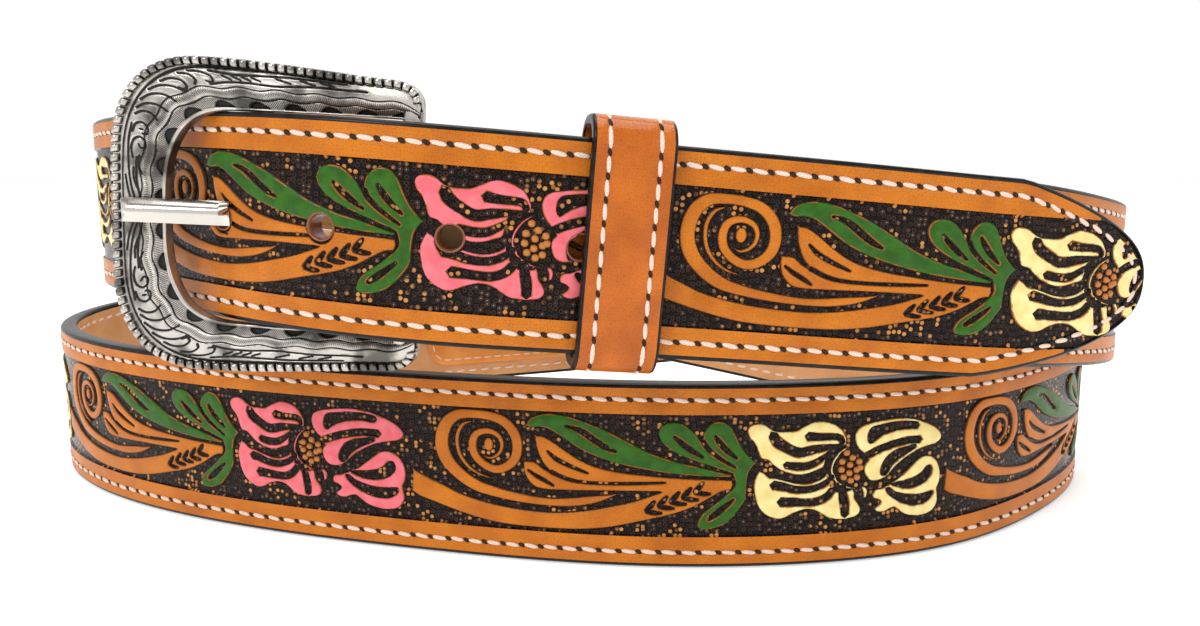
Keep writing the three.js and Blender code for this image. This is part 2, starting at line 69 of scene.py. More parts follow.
HEEL_PLACE = 149.6
TIP_END = 50.0
TINY = 1e-9
BODY = "root"

log = logging.getLogger("belt")

Point = tuple[float, ...]
Colour = tuple[float, float, float]
Array = np.ndarray
Faces = list[tuple[int, ...]]
Shape = tuple[Array, Faces]
Triangles = tuple[Array, Array]
Material = bpy.types.Material
Piece = bpy.types.Object


class Face(Enum):
    """Which face of the strap something lies on."""

    OUTER = 1
    INNER = -1


# Lines, rings and curves


def unit(rows: Array) -> Array:
    """Scale a direction, or each row of directions, to the length one."""
    if rows.ndim == 1:
        return rows / np.linalg.norm(rows)
    return rows / np.maximum(np.linalg.norm(rows, axis=1), TINY)[:, None]


def run_lengths(line: Array) -> Array:
    """Measure along a line up to each of its points."""
    return np.concatenate([[0], np.cumsum(np.linalg.norm(np.diff(line, axis=0), axis=1))])


def read_line(line: Array, lengths: Array, at: Array | float) -> Array:
    """Read a line's points off at distances along it."""
    return np.stack([np.interp(at, lengths, line[:, k]) for k in range(line.shape[1])], axis=-1)


def along_line(line: Array, shares: Array) -> Array:
    """Read a line's points off at shares of its length."""
    lengths = run_lengths(line)
    return read_line(line, lengths, shares * lengths[-1])


def heading(line: Array, lengths: Array, at: float, reach: float) -> Array:
    """Give a line's run at one distance along it, taken from a reach before to a reach behind."""
    return read_line(line, lengths, at + reach) - read_line(line, lengths, at - reach)


def sweep(rings: int, size: int, closed: bool = False) -> Faces:
    """List the faces between rings of points that follow each other.

    Args:
        rings: how many rings there are.
        size: how many points each ring has.
        closed: whether the last ring joins the first.

    Returns:
        The faces, ring by ring.
    """
    faces = []
    for r in range(rings if closed else rings - 1):
        here, there = r * size, (r + 1) % rings * size
        for i in range(size):
            j = (i + 1) % size
            faces.append((here + i, there + i, there + j, here + j))
    return faces


def lids(rings: int, size: int) -> Faces:
    """List the two faces that close the first and the last ring."""
    return [tuple(range(size))[::-1], tuple(range((rings - 1) * size, rings * size))]


def shifted(faces: Faces, first: int) -> Faces:
    """Renumber faces whose points come after others."""
    return [tuple(v + first for v in f) for f in faces]


def circle(sides: int) -> Array:
    """Give the angles of a circle's points."""
    return np.arange(sides) * 2 * math.pi / sides


def smooth(points: list[Point], closed: bool, step: float) -> Array:
    """Run a smooth curve through given points.

    Args:
        points: rows of two or three numbers; a row with a trailing "c" turns a sharp corner.
        closed: whether the curve returns to its first point.
        step: the distance between samples.

    Returns:
        The samples, one row each.
    """
    corner = [isinstance(p[-1], str) for p in points]
    rows = np.array([[v for v in p if not isinstance(v, str)] for p in points], dtype=float)
    count = len(rows)
    if not closed:
        corner[0] = corner[-1] = True
    gap = lambda p, q: max(np.linalg.norm((q - p)[:2]), 1e-6)
    out = []
    for i in range(count if closed else count - 1):
        a, b = rows[i], rows[(i + 1) % count]
        before, after = rows[(i - 1) % count], rows[(i + 2) % count]
        length = gap(a, b)
        start = end = b - a
        if not corner[i]:
            start = (b - before) * length / (length + gap(before, a))
        if not corner[(i + 1) % count]:
            end = (after - a) * length / (length + gap(b, after))
        steps = max(1, int(round(length / step)))
        for j in range(steps):
            t = j / steps
            out.append(
                (2 * t**3 - 3 * t**2 + 1) * a
                + (t**3 - 2 * t**2 + t) * start
                + (-2 * t**3 + 3 * t**2) * b
                + (t**3 - t**2) * end
            )
    if not closed:
        out.append(rows[-1])
    return np.array(out)


def ribbon(points: list[Point], step: float = 0.45) -> Array:
    """Give a centre line with a width at each point its outline.

    Args:
        points: rows of across, up and width.
        step: the distance between samples.

    Returns:
        The closed outline.
    """
    rows = smooth(points, False, step)
    line, width = rows[:, :2], np.maximum(rows[:, 2], 0.04)
    along = unit(np.gradient(line, axis=0))
    side = np.stack([-along[:, 1], along[:, 0]], axis=1) * width[:, None] / 2
    end = [line[-1] + along[-1] * width[-1] * 0.42]
    start = [line[0] - along[0] * width[0] * 0.42]
    return np.vstack([line + side, end, (line - side)[::-1], start])


def disc(across: float, up: float, wide: float, high: float, sides: int = 20) -> Array:
    """Outline an oval about a middle."""
    angles = circle(sides)
    return np.stack([across + wide * np.cos(angles), up + high * np.sin(angles)], axis=1)


def winding(points: Array, loop: Array) -> Array:
    """Count how often a loop runs round each point."""
    a, b = loop, np.roll(loop, -1, axis=0)
    x, y = points[:, 0:1], points[:, 1:2]
    cross = (b[:, 0] - a[:, 0]) * (y - a[:, 1]) - (x - a[:, 0]) * (b[:, 1] - a[:, 1])
    up = (a[:, 1] <= y) & (b[:, 1] > y) & (cross > 0)
    down = (a[:, 1] > y) & (b[:, 1] <= y) & (cross < 0)
    return up.sum(axis=1) - down.sum(axis=1)


def turned_up(points: Array, triangles: Array) -> Faces:
    """Give triangles in the plane one sense of turning."""
    a, b, c = (points[triangles[:, k]] for k in range(3))
    return [f if area > 0 else f[::-1] for f, area in zip(triangles, np.cross(b - a, c - a))]


def to_segments(points: Array, starts: Array, runs: Array) -> Array:
    """Measure from each point to the nearest of some segments."""
    square = np.maximum((runs**2).sum(axis=1), 1e-12)
    best = np.empty(len(points))
    batch = 2000
    for first in range(0, len(points), batch):
        off = points[first : first + batch, None] - starts
        share = np.clip((off * runs).sum(axis=2) / square, 0, 1)
        best[first : first + batch] = np.linalg.norm(off - share[..., None] * runs, axis=2).min(axis=1)
    return best


def open_distance(points: Array, line: Array) -> Array:
    """Measure from each point to an open line."""
    return to_segments(points, line[:-1], np.diff(line, axis=0))


def distance_to(points: Array, loops: list[Array]) -> Array:
    """Measure from each point to the nearest edge of any loop."""
    flat = [loop[:, :2] for loop in loops]
    return np.min([to_segments(points, a, np.roll(a, -1, axis=0) - a) for a in flat], axis=0)


def triangulate(loops: list[Array], extra: Array | None = None) -> Triangles:
    """Fill the plane between loops with triangles that keep every loop's edges."""
    verts, edges = [], []
    for loop in loops:
        first = len(verts)
        verts += [Vector(p) for p in loop[:, :2]]
        edges += [(first + i, first + (i + 1) % len(loop)) for i in range(len(loop))]
    if extra is not None:
        verts += [Vector(p) for p in extra]
    points, _, faces, *_ = delaunay_2d_cdt(verts, edges, [], 0, 1e-5)
    return np.array([tuple(p) for p in points]), np.array([f for f in faces if len(f) == 3])


@dataclass
class Relief:
    """Raised work cut from outlines: a plateau with rounded slopes, in the plane, as one mesh."""

    solids: list[Array]
    cuts: list[Array] = field(default_factory=list)
    clip: Array | None = None
    height: float = RELIEF_HEIGHT
    root: float = -0.06
    slope: float = 0.17
    shoulder: float = 0.42
    slope_top: float = 0.72
    grid: float = 2.2
    spacing: float = 0.09
    least_area: float = 0.04

    def region(self) -> list[Array]:
        """Work out the outline of what is raised, inside on the left."""
        loops = self.solids + self.cuts + ([self.clip] if self.clip is not None else [])
        points, faces = triangulate(loops)
        if not len(faces):
            return []
        middles = points[faces].mean(axis=1)
        keep = np.zeros(len(faces), dtype=bool)
        for loop in self.solids:
            keep |= winding(middles, loop) != 0
        for loop in self.cuts:
            keep &= winding(middles, loop) == 0
        if self.clip is not None:
            keep &= winding(middles, self.clip) != 0
        kept = turned_up(points, faces[keep])
        sides = {(f[i], f[(i + 1) % 3]) for f in kept for i in range(3)}
        follow: dict[int, list[int]] = {}
        for a, b in sides:
            if (b, a) not in sides:
                follow.setdefault(a, []).append(b)
        found = []
        while follow:
            start = next(iter(follow))
            loop, here = [], start
            while here in follow:
                loop.append(here)
                ahead = follow[here].pop()
                if not follow[here]:
                    del follow[here]
                here = ahead
                if here == start:
                    break
            if len(loop) > 4:
                found.append(self.spaced(points[loop]))
        return [loop for loop in found if len(loop) > 5 and abs(self.area(loop)) > self.least_area]

    @staticmethod
    def area(loop: Array) -> float:
        """Measure a loop's area, negative for a hole."""
        ahead = np.roll(loop, -1, axis=0)
        return float((loop[:, 0] * ahead[:, 1] - ahead[:, 0] * loop[:, 1]).sum() / 2)

    def spaced(self, loop: Array) -> Array:
        """Drop points that crowd their neighbour."""
        kept = [loop[0]]
        for p in loop[1:]:
            if np.linalg.norm(p - kept[-1]) > self.spacing:
                kept.append(p)
        while len(kept) > 3 and np.linalg.norm(kept[-1] - kept[0]) < self.spacing:
            kept.pop()
        return np.array(kept)

    def inset(self, loops: list[Array], reach: float) -> list[Array]:
        """Move each loop's points into the raised side, less where there is little room."""
        moved = []
        for loop in loops:
            before, ahead = np.roll(loop, 1, axis=0), np.roll(loop, -1, axis=0)
            along = unit(unit(loop - before) + unit(ahead - loop))
            normal = np.stack([-along[:, 1], along[:, 0]], axis=1)
            far = np.full(len(loop), reach)
            for _ in range(5):
                tried = loop + normal * far[:, None]
                tight = distance_to(tried, loops) < far * 0.72
                if not tight.any():
                    break
                far[tight] *= 0.62
            moved.append(loop + normal * far[:, None])
        return moved

    def build(self) -> Shape:
        """Raise the region.

        Returns:
            Points across, up and outward, and faces that point outward.
        """
        loops = self.region()
        if not loops:
            return np.zeros((0, 3)), []
        low = self.inset(loops, self.slope)
        high = self.inset(loops, self.shoulder)
        points: list[Array] = []
        faces: Faces = []
        count = 0
        for foot, edge, top in zip(loops, low, high):
            size = len(foot)
            rises = (self.root, self.height * self.slope_top, self.height)
            for ring, rise in zip((foot, edge, top), rises):
                points.append(np.column_stack([ring, np.full(size, rise)]))
            faces += [(a, d, c, b) for a, b, c, d in shifted(sweep(3, size), count)]
            count += 3 * size
        corners = np.vstack(high)
        spread = [np.arange(c.min() + self.grid / 2, c.max(), self.grid) for c in corners.T]
        mesh = np.stack(np.meshgrid(*spread), axis=-1).reshape(-1, 2)
        if len(mesh):
            total = sum(winding(mesh, loop) for loop in high)
            mesh = mesh[(total > 0) & (distance_to(mesh, high) > 0.5)]
        cap, triangles = triangulate(high, mesh if len(mesh) else None)
        if len(triangles):
            middles = cap[triangles].mean(axis=1)
            inside = sum(winding(middles, loop) for loop in high) > 0
            faces += shifted(turned_up(cap, triangles[inside]), count)
            points.append(np.column_stack([cap, np.full(len(cap), self.height)]))
        return np.vstack(points), faces


# Route of the strap


@dataclass(frozen=True)
class Row:
    """One control row of the route: shares of the coil's width and depth and of the strap's width."""

    across: float
    back: float
    lift: float


ROUTE = (
    Row(0.3875, 0.0665, 1.003),
    Row(0.333, 0.020, 1.021),
    Row(0.257, -0.027, 1.066),
    Row(0.150, -0.063, 1.144),
    Row(0.029, -0.087, 1.223),
    Row(-0.093, -0.137, 1.302),
    Row(-0.200, -0.103, 1.365),
    Row(-0.295, 0.033, 1.391),
    Row(-0.373, 0.187, 1.386),
    Row(-0.436, 0.353, 1.365),
    Row(-0.454, 0.547, 1.299),
    Row(-0.404, 0.693, 1.180),
    Row(-0.293, 0.760, 1.010),
    Row(-0.143, 0.780, 0.827),
    Row(0.018, 0.787, 0.590),
    Row(0.179, 0.787, 0.328),
    Row(0.321, 0.773, 0.105),
    Row(0.429, 0.693, 0),
    Row(0.463, 0.533, 0),
    Row(0.432, 0.367, 0),
    Row(0.364, 0.220, 0),
    Row(0.271, 0.077, 0),
    Row(0.150, 0.017, 0),
    Row(0.018, 0.010, 0),
    Row(-0.125, 0.070, 0),
    Row(-0.268, 0.147, 0),
    Row(-0.393, 0.253, 0),
    Row(-0.489, 0.400, 0),
    Row(-0.539, 0.587, 0),
    Row(-0.500, 0.767, 0.052),
    Row(-0.375, 0.867, 0.131),
    Row(-0.214, 0.887, 0.210),
    Row(-0.036, 0.887, 0.315),
    Row(0.143, 0.887, 0.446),
    Row(0.304, 0.853, 0.590),
    Row(0.429, 0.747, 0.709),
    Row(0.486, 0.547, 0.801),
    Row(0.454, 0.333, 0.848),
    Row(0.382, 0.187, 0.945),
    Row(0.293, 0.060, 1.045),
)


@dataclass
class Coil:
    """The strap's middle line from the tip of the free end to the buckle's heel bar."""

    width: float = 280.0
    depth: float = 150.0
    overlap_gap: float = 0.8
    shift: tuple[float, float] = (7.278, -57.187)
    nose_upper: float = 34.0
    nose_lower: float = 40.0
    nose_power: float = 0.4
    step: float = 0.5

    def __post_init__(self) -> None:
        """Lay the route out and keep its frames at even distances."""
        shares = np.array([[r.across, r.back, r.lift] for r in ROUTE])
        rows = shares * (self.width, self.depth, STRAP_WIDTH)
        follow = THICKNESS + self.overlap_gap
        tail = []
        for i in (3, 4, 5, 6):
            run = rows[i + 1] - rows[i - 1]
            inward = np.array([-run[1], run[0], 0.0])
            tail.append(rows[i] - inward / np.linalg.norm(inward) * follow)
        control = np.vstack([rows, tail])
        ends = np.vstack([2 * control[0] - control[1], control, 2 * control[-1] - control[-2]])
        t = (np.arange(24) / 24)[:, None]
        weights = (
            (1 - t) ** 3 / 6,
            (3 * t**3 - 6 * t**2 + 4) / 6,
            (-3 * t**3 + 3 * t**2 + 3 * t + 1) / 6,
            t**3 / 6,
        )
        runs = [ends[i : i + 4] for i in range(len(control) - 1)]
        line = np.vstack([sum(w * p for w, p in zip(weights, run)) for run in runs])
        lengths = run_lengths(line)
        heel = int(np.argmax(lengths >= HEEL_PLACE))
        gap = np.hypot(*(line - line[heel])[:, :2].T)
        end = len(line) - 1
        while gap[end - 1] < gap[end]:
            end -= 1
        self.total = float(lengths[end])
        self.s = np.arange(0, self.total + self.step, self.step)
        self.s[-1] = self.total
        at = lambda s: read_line(line, lengths, s)
        self.point = at(self.s)
        self.along = unit(at(np.minimum(self.s + 1, lengths[-1])) - at(np.maximum(self.s - 1, 0)))
        self.out = unit(np.stack([-self.along[:, 1], self.along[:, 0], 0 * self.s], axis=1))
        up = np.cross(self.along, self.out)
        self.up = up * np.where(up[:, 2] < 0, -1, 1)[:, None]
        self.point[:, :2] += self.shift

    def frame(self, s: Array) -> tuple[Array, ...]:
        """Give the lower edge's middle, outward, up and along directions at distances."""
        s = np.atleast_1d(np.asarray(s, dtype=float))
        return tuple(read_line(rows, self.s, s) for rows in (self.point, self.out, self.up, self.along))

    def frame_at(self, s: float) -> tuple[Array, ...]:
        """Give the same four at one distance."""
        return tuple(rows[0] for rows in self.frame(s))

    def place(self, s: Array, outward: Array, height: Array) -> Array:
        """Turn strap coordinates in millimetres into points in metres."""
        point, out, up, _ = self.frame(s)
        return (point + out * np.reshape(outward, (-1, 1)) + up * np.reshape(height, (-1, 1))) * MM

    def edges(self, s: Array) -> tuple[Array, Array]:
        """Give the strap's lower and upper edge at distances from the tip."""
        s = np.maximum(np.asarray(s, dtype=float), 0)
        swell = lambda reach: np.minimum(1, s / reach) ** self.nose_power
        return MID * (1 - swell(self.nose_lower)), MID * (1 + swell(self.nose_upper))

    def nose_outline(self, reach: float = 90.0) -> Array:
        """Outline the free end from its lower edge round the tip to its upper edge."""
        share = np.linspace(0, 1, 70) ** (1 / self.nose_power)
        s = np.concatenate([self.nose_lower * share, np.linspace(42, reach, 24)])
        t = np.concatenate([self.nose_upper * share, np.linspace(36, reach, 24)])
        low, high = self.edges(s)[0], self.edges(t)[1]
        return np.vstack([np.column_stack([s, low])[::-1], np.column_stack([t, high])[1:]])

    def edge_distance(self, s: Array, height: Array) -> Array:
        """Measure from points on the strap to its nearest edge."""
        far = np.minimum(height, STRAP_WIDTH - height)
        near = np.asarray(s) < TIP_END
        if near.any():
            far = far.copy()
            far[near] = open_distance(np.column_stack([s, height])[near], self.nose_outline())
        return far

    def inset_line(self, inset: float, end: float) -> Array:
        """Run a line at one distance inside the edge, from the buckle end round the tip and back."""
        line = self.nose_outline()
        along = unit(np.gradient(line, axis=0))
        moved = line + np.column_stack([along[:, 1], -along[:, 0]]) * inset
        inside = distance_to(moved, [np.vstack([line, [[90, MID]]])]) > inset * 0.93
        moved = moved[inside & (moved[:, 0] < 80)]
        return np.vstack([[[end, inset]], moved, [[end, STRAP_WIDTH - inset]]])


@dataclass(frozen=True)
class Anchor:
    """Where a place of the repeating pattern falls on the strap."""

    strap: float
    pattern: float


ANCHORS = (
    Anchor(11.1, -75.0),
    Anchor(36.2, -53.5),
    Anchor(45.6, -44.0),
    Anchor(80.8, -8.4),
    Anchor(89.0, -0.5),
    Anchor(99.9, 10.1),
    Anchor(125.6, 38.0),
    Anchor(196.5, 112.5),
    Anchor(653.9, 564.5),
    Anchor(692.15, 603.0),
    Anchor(766.1, 678.0),
    Anchor(806.8, 716.0),
    Anchor(819.4, 730.0),
    Anchor(878.65, 790.5),
)
REPEAT = 113.0


STRAP_PLACES = np.array([x.strap for x in ANCHORS])
PATTERN_PLACES = np.array([x.pattern for x in ANCHORS])


def matched(value: Array | float, keys: Array, places: Array) -> Array:
    """Read one scale against another, and go on one to one past both ends."""
    before = places[0] + (value - keys[0])
    after = places[-1] + value - keys[-1]
    inside = np.interp(value, keys, places)
    return np.where(value < keys[0], before, np.where(value > keys[-1], after, inside))


def strap_of(pattern: Array | float) -> Array:
    """Turn a distance in the pattern into one on the strap."""
    return matched(pattern, PATTERN_PLACES, STRAP_PLACES)


def pattern_of(strap: Array | float) -> Array:
    """Turn a distance on the strap into one in the pattern."""
    return matched(strap, STRAP_PLACES, PATTERN_PLACES)


def lowered(strap: Array, height: Array) -> Array:
    """Set the drawing lower near the tip, where the photograph shows it so.

    Args:
        strap: distances from the tip.
        height: heights on the strap as charted.

    Returns:
        The heights there.
    """
    share = np.interp(strap, [0, 95, 150, 210, 270], [0.95, 0.95, 0.4, 0.4, 0.0])
    flower = np.interp(strap, [36, 46], [1.0, 0.0])
    rising = np.clip((height - 7.0) / 9.0, 0, 1)
    rising = rising * rising * (3 - 2 * rising)
    return height - share * np.maximum(rising, flower * 0.9)


# Materials


def operator(operation: str, swapped: bool = False) -> Callable[[Wire, Wire | float], Wire]:
    """Make a wire's method that adds a Math node.

    Args:
        operation: the node's operation.
        swapped: whether the wire comes second.

    Returns:
        The method.
    """

    def method(wire: Wire, other: Wire | float) -> Wire:
        """Add the node and give its result."""
        values = (other, wire) if swapped else (wire, other)
        return wire.bench.math(operation, *values)

    return method


@dataclass(frozen=True)
class Wire:
    """A shader socket that sums can be written with."""

    bench: Bench
    socket: bpy.types.NodeSocket

    __add__ = __radd__ = operator("ADD")
    __mul__ = __rmul__ = operator("MULTIPLY")
    __sub__ = operator("SUBTRACT")
    __rsub__ = operator("SUBTRACT", swapped=True)
    at_least = operator("MAXIMUM")

    def between(self, low: float, high: float) -> Wire:
        """Ease from 0 at low to 1 at high."""
        sockets = {0: self, 1: low, 2: high, 3: 0.0, 4: 1.0}
        return self.bench.wire("ShaderNodeMapRange", 0, sockets, interpolation_type="SMOOTHSTEP")


Feed = Wire | float | Colour
SOCKETS = {
    "colour": "Base Color",
    "roughness": "Roughness",
    "metallic": "Metallic",
    "coat": "Coat Weight",
    "coat_roughness": "Coat Roughness",
    "specular": "Specular IOR Level",
    "normal": "Normal",
}


class Bench:
    """One material under work."""

    def __init__(self, name: str) -> None:
        """Start a material with a bare surface shader."""
        self.material = bpy.data.materials.new(name)
        self.material.use_nodes = True
        self.tree = self.material.node_tree
        self.shader = next(n for n in self.tree.nodes if n.type == "BSDF_PRINCIPLED")

    def feed(self, socket: bpy.types.NodeSocket, value: Feed) -> None:
        """Link a wire to a socket, or set the socket's own number or colour."""
        if isinstance(value, Wire):
            self.tree.links.new(value.socket, socket)
        else:
            socket.default_value = (*value, 1.0) if isinstance(value, tuple) else value

    def wires(self, kind: str, outputs: tuple, settings: dict, sockets: dict) -> list[Wire]:
        """Add a node.

        Args:
            kind: the node's type.
            outputs: the outputs that are asked for, by name or number.
            settings: its properties, set first.
            sockets: values or wires by socket name or number.

        Returns:
            A wire for each of those outputs.
        """
        node = self.tree.nodes.new(kind)
        for key, value in settings.items():
            setattr(node, key, value)
        for key, value in sockets.items():
            self.feed(node.inputs[key], value)
        return [Wire(self, node.outputs[output]) for output in outputs]

    def wire(self, kind: str, output: str | int = 0, sockets: dict | None = None, **settings: str) -> Wire:
        """Add a node and take one of its outputs."""
        return self.wires(kind, (output,), settings, sockets or {})[0]

    def math(self, operation: str, *values: Wire | float) -> Wire:
        """Add a Math node on wires and numbers."""
        return self.wire("ShaderNodeMath", 0, dict(enumerate(values)), operation=operation)

    def uv(self) -> Wire:
        """Read the piece's own strap map, in millimetres."""
        return self.wire("ShaderNodeUVMap", uv_map="strap")

    def object_place(self) -> Wire:
        """Read the place in the object, in metres."""
        return self.wire("ShaderNodeTexCoord", "Object")

    def attribute(self, name: str) -> Wire:
        """Read one of the piece's own attributes."""
        return self.wire("ShaderNodeAttribute", "Fac", attribute_name=name)

    def noise(self, place: Wire, scale: float, detail: float = 2.0, rough: float = 0.5) -> Wire:
        """Add noise."""
        sockets = {"Vector": place, "Scale": scale, "Detail": detail, "Roughness": rough}
        return self.wire("ShaderNodeTexNoise", "Fac", sockets)

    def waves(self, direction: str, **sockets: Wire | float) -> Wire:
        """Add bands that run in one direction."""
        return self.wire("ShaderNodeTexWave", "Fac", sockets, bands_direction=direction)

    def cells(self, place: Wire, scale: float) -> list[Wire]:
        """Add cells: the distance from their middles and a colour each."""
        sockets = {"Vector": place, "Scale": scale, "Randomness": 0.6}
        flat = {"voronoi_dimensions": "2D"}
        return self.wires("ShaderNodeTexVoronoi", ("Distance", "Color"), flat, sockets)

    def part(self, colour: Wire) -> Wire:
        """Take one number from a colour."""
        return self.wire("ShaderNodeSeparateColor", 0, {0: colour})

    def mix(self, share: Wire | float, one: Wire | Colour, two: Wire | Colour) -> Wire:
        """Mix two colours."""
        return self.wire("ShaderNodeMix", 2, {0: share, 6: one, 7: two}, data_type="RGBA")

    def bump(self, height: Wire, depth: float, under: Wire | None = None) -> Wire:
        """Add relief of a depth in metres."""
        sockets = {"Height": height, "Strength": 1.0, "Distance": depth}
        if under is not None:
            sockets["Normal"] = under
        return self.wire("ShaderNodeBump", 0, sockets)

    def finish(self, **sockets: Feed) -> Material:
        """Feed the surface shader and give the material back."""
        for key, value in sockets.items():
            self.feed(self.shader.inputs[SOCKETS[key]], value)
        return self.material


def dimmed(colour: Colour, share: float) -> Colour:
    """Darken a colour to a share of itself."""
    return tuple(c * share for c in colour)


@dataclass(frozen=True)
class Leather:
    """Smooth glazed leather with fine pores; slopes of raised work fall to a dark stain."""

    name: str
    light: Colour
    deep: Colour
    stain: Colour = (0.035, 0.016, 0.008)
    roughness: float = 0.38
    coat: float = 0.15
    raised: bool = False
    pores: float = 0.55

    def make(self) -> Material:
        """Mix the finish."""
        bench = Bench(self.name)
        place = bench.uv()
        blotch = bench.noise(place, 0.11, 3.0)
        grain = bench.noise(place, 2.1, 4.0, 0.65)
        pore = bench.cells(place, 1.7)[0].between(0.05, 0.3)
        colour = bench.mix(blotch.between(0.3, 0.72), self.light, self.deep)
        speck = bench.noise(place, 2.9, 3.0, 0.7).between(0.54, 0.66)
        shade = ((1 - pore) * grain.between(0.45, 0.6)).at_least(speck * 0.7) * self.pores
        colour = bench.mix(shade, colour, dimmed(self.deep, 0.38))
        rough = self.roughness + grain * 0.14
        height = pore * 0.35 + grain * 0.65
        if self.raised:
            rise = bench.attribute("rise")
            wear = (rise + (grain - 0.5) * 0.5).between(0.55, 1.0)
            colour = bench.mix(wear, self.stain, colour)
        return bench.finish(
            colour=colour,
            roughness=rough,
            specular=0.14,
            coat=self.coat,
            coat_roughness=0.12,
            normal=bench.bump(height, 0.00015),
        )


@dataclass(frozen=True)
class Paint:
    """Brushed acrylic paint on raised leather, dark at its slopes, with fine brush marks."""

    name: str
    light: Colour
    deep: Colour
    slope: Colour = (0.03, 0.016, 0.01)
    roughness: float = 0.42

    def make(self) -> Material:
        """Mix the finish."""
        bench = Bench(self.name)
        place = bench.uv()
        patch = bench.noise(place, 0.35, 3.0)
        grain = bench.noise(place, 2.6, 3.0, 0.6)
        rise = bench.attribute("rise")
        colour = bench.mix(patch.between(0.3, 0.7), self.light, self.deep)
        colour = bench.mix(grain.between(0.62, 0.8) * 0.35, colour, dimmed(self.deep, 0.6))
        bare = (1 - rise.between(0.9, 1.0)) * patch.between(0.44, 0.56)
        colour = bench.mix(bare * 0.85, colour, (0.40, 0.11, 0.008))
        edge = (rise + (grain - 0.5) * 0.5).between(0.5, 0.95)
        colour = bench.mix(edge, self.slope, colour)
        return bench.finish(
            colour=colour,
            roughness=self.roughness + grain * 0.12,
            specular=0.12,
            coat=0.15,
            coat_roughness=0.12,
            normal=bench.bump(grain, 0.00008),
        )


@dataclass(frozen=True)
class SeededGround:
    """Dark sunk ground, matted with small round seeds whose tops are partly worn to tan; each seed has a
    brown ring that is partly its own tone and partly a painted rim highlight, and some carry a painted
    glint.
    """

    name: str = "seeded_ground"
    spacing: float = 1.06

    def make(self) -> Material:
        """Mix the finish."""
        bench = Bench(self.name)
        place = bench.uv()
        distance, hue = bench.cells(place, 1 / self.spacing)
        seed = 1 - distance.between(0.40, 0.52)
        top = 1 - distance.between(0.32, 0.42)
        chance = bench.part(hue)
        drift = bench.noise(place, 0.16, 2.0)
        # Brown ring on each seed, dark in its middle: partly the seeds' own brown, partly a painted
        # highlight on their rims.
        ring = distance.between(0.18, 0.30) * seed
        worn = (chance * 0.3 + drift).between(0.75, 0.85) * top
        tan = bench.mix(chance, (0.24, 0.085, 0.014), (0.50, 0.21, 0.045))
        dark = bench.mix(ring * (0.3 + chance * 0.7), (0.0040, 0.0025, 0.0020), (0.052, 0.026, 0.017))
        # Painted glint: a pale dot on part of the seeds stands in for a highlight.
        painted_glint = (1 - distance.between(0.07, 0.15)) * chance.between(0.66, 0.78)
        colour = bench.mix(painted_glint * 0.7, bench.mix(worn, dark, tan), (0.34, 0.29, 0.26))
        relief = bench.bump(seed, 0.0005)
        return bench.finish(colour=colour, roughness=0.26, specular=0.12, normal=relief)


@dataclass(frozen=True)
class PaintedEdge:
    """Black edge paint, burnished, with faint lengthwise scratches."""

    name: str = "painted_edge"

    def make(self) -> Material:
        """Mix the finish."""
        bench = Bench(self.name)
        place = bench.uv()
        streak = bench.noise(place, 0.5, 4.0)
        colour = bench.mix(streak.between(0.4, 0.75), (0.003, 0.0025, 0.002), (0.014, 0.010, 0.008))
        relief = bench.bump(streak, 0.00007)
        return bench.finish(colour=colour, roughness=0.2 + streak * 0.2, specular=0.2, normal=relief)


@dataclass(frozen=True)
class Thread:
    """Waxed thread with a fine twist."""

    name: str
    colour: Colour

    def make(self) -> Material:
        """Mix the finish."""
        bench = Bench(self.name)
        strands = bench.waves("DIAGONAL", Vector=bench.uv(), Scale=1.1, Distortion=1.5)
        colour = bench.mix(strands * 0.4, self.colour, dimmed(self.colour, 0.62))
        return bench.finish(colour=colour, roughness=0.55, normal=bench.bump(strands, 0.00006))


@dataclass(frozen=True)
class Plain:
    """A plain even finish with a faint mottle."""

    name: str
    colour: Colour
    roughness: float = 0.5
    metallic: float = 0.0
    coat: float = 0.0

    def make(self) -> Material:
        """Mix the finish."""
        bench = Bench(self.name)
        place = bench.object_place()
        mottle = bench.noise(place, 900.0, 3.0)
        colour = bench.mix(mottle * 0.5, self.colour, dimmed(self.colour, 0.6))
        return bench.finish(
            colour=colour,
            roughness=self.roughness + mottle * 0.08,
            metallic=self.metallic,
            specular=0.25,
            coat=self.coat,
            normal=bench.bump(mottle, 0.00004),
        )


@dataclass(frozen=True)
class AntiqueSilver:
    """Cast silver, dark in its cuts, with fine hatching on its ribbons and soft wear."""

    name: str = "antique_silver"
    bright: Colour = (0.50, 0.47, 0.43)
    worn: Colour = (0.11, 0.10, 0.09)

    def make(self) -> Material:
        """Mix the finish."""
        bench = Bench(self.name)
        place = bench.object_place()
        blotch = bench.noise(place, 150.0, 3.0)
        grain = bench.noise(place, 2600.0, 3.0, 0.6)
        shade = bench.attribute("rise")
        hatch = bench.attribute("hatch")
        wave = bench.waves("X", Vector=bench.uv(), Scale=0.72, Distortion=1.2, Detail=1.0)
        lines = wave * hatch
        colour = bench.mix(blotch.between(0.42, 0.66), self.bright, self.worn)
        colour = bench.mix(lines * 0.8, colour, (0.05, 0.046, 0.042))
        cut = (shade + (grain - 0.5) * 0.3).between(0.12, 0.5)
        colour = bench.mix(cut, colour, (0.008, 0.007, 0.006))
        rough = 0.27 + blotch * 0.1 + shade * 0.3
        relief = bench.bump(1 - lines, 0.00012, bench.bump(grain, 0.00003))
        return bench.finish(colour=colour, metallic=1 - shade * 0.75, roughness=rough, normal=relief)


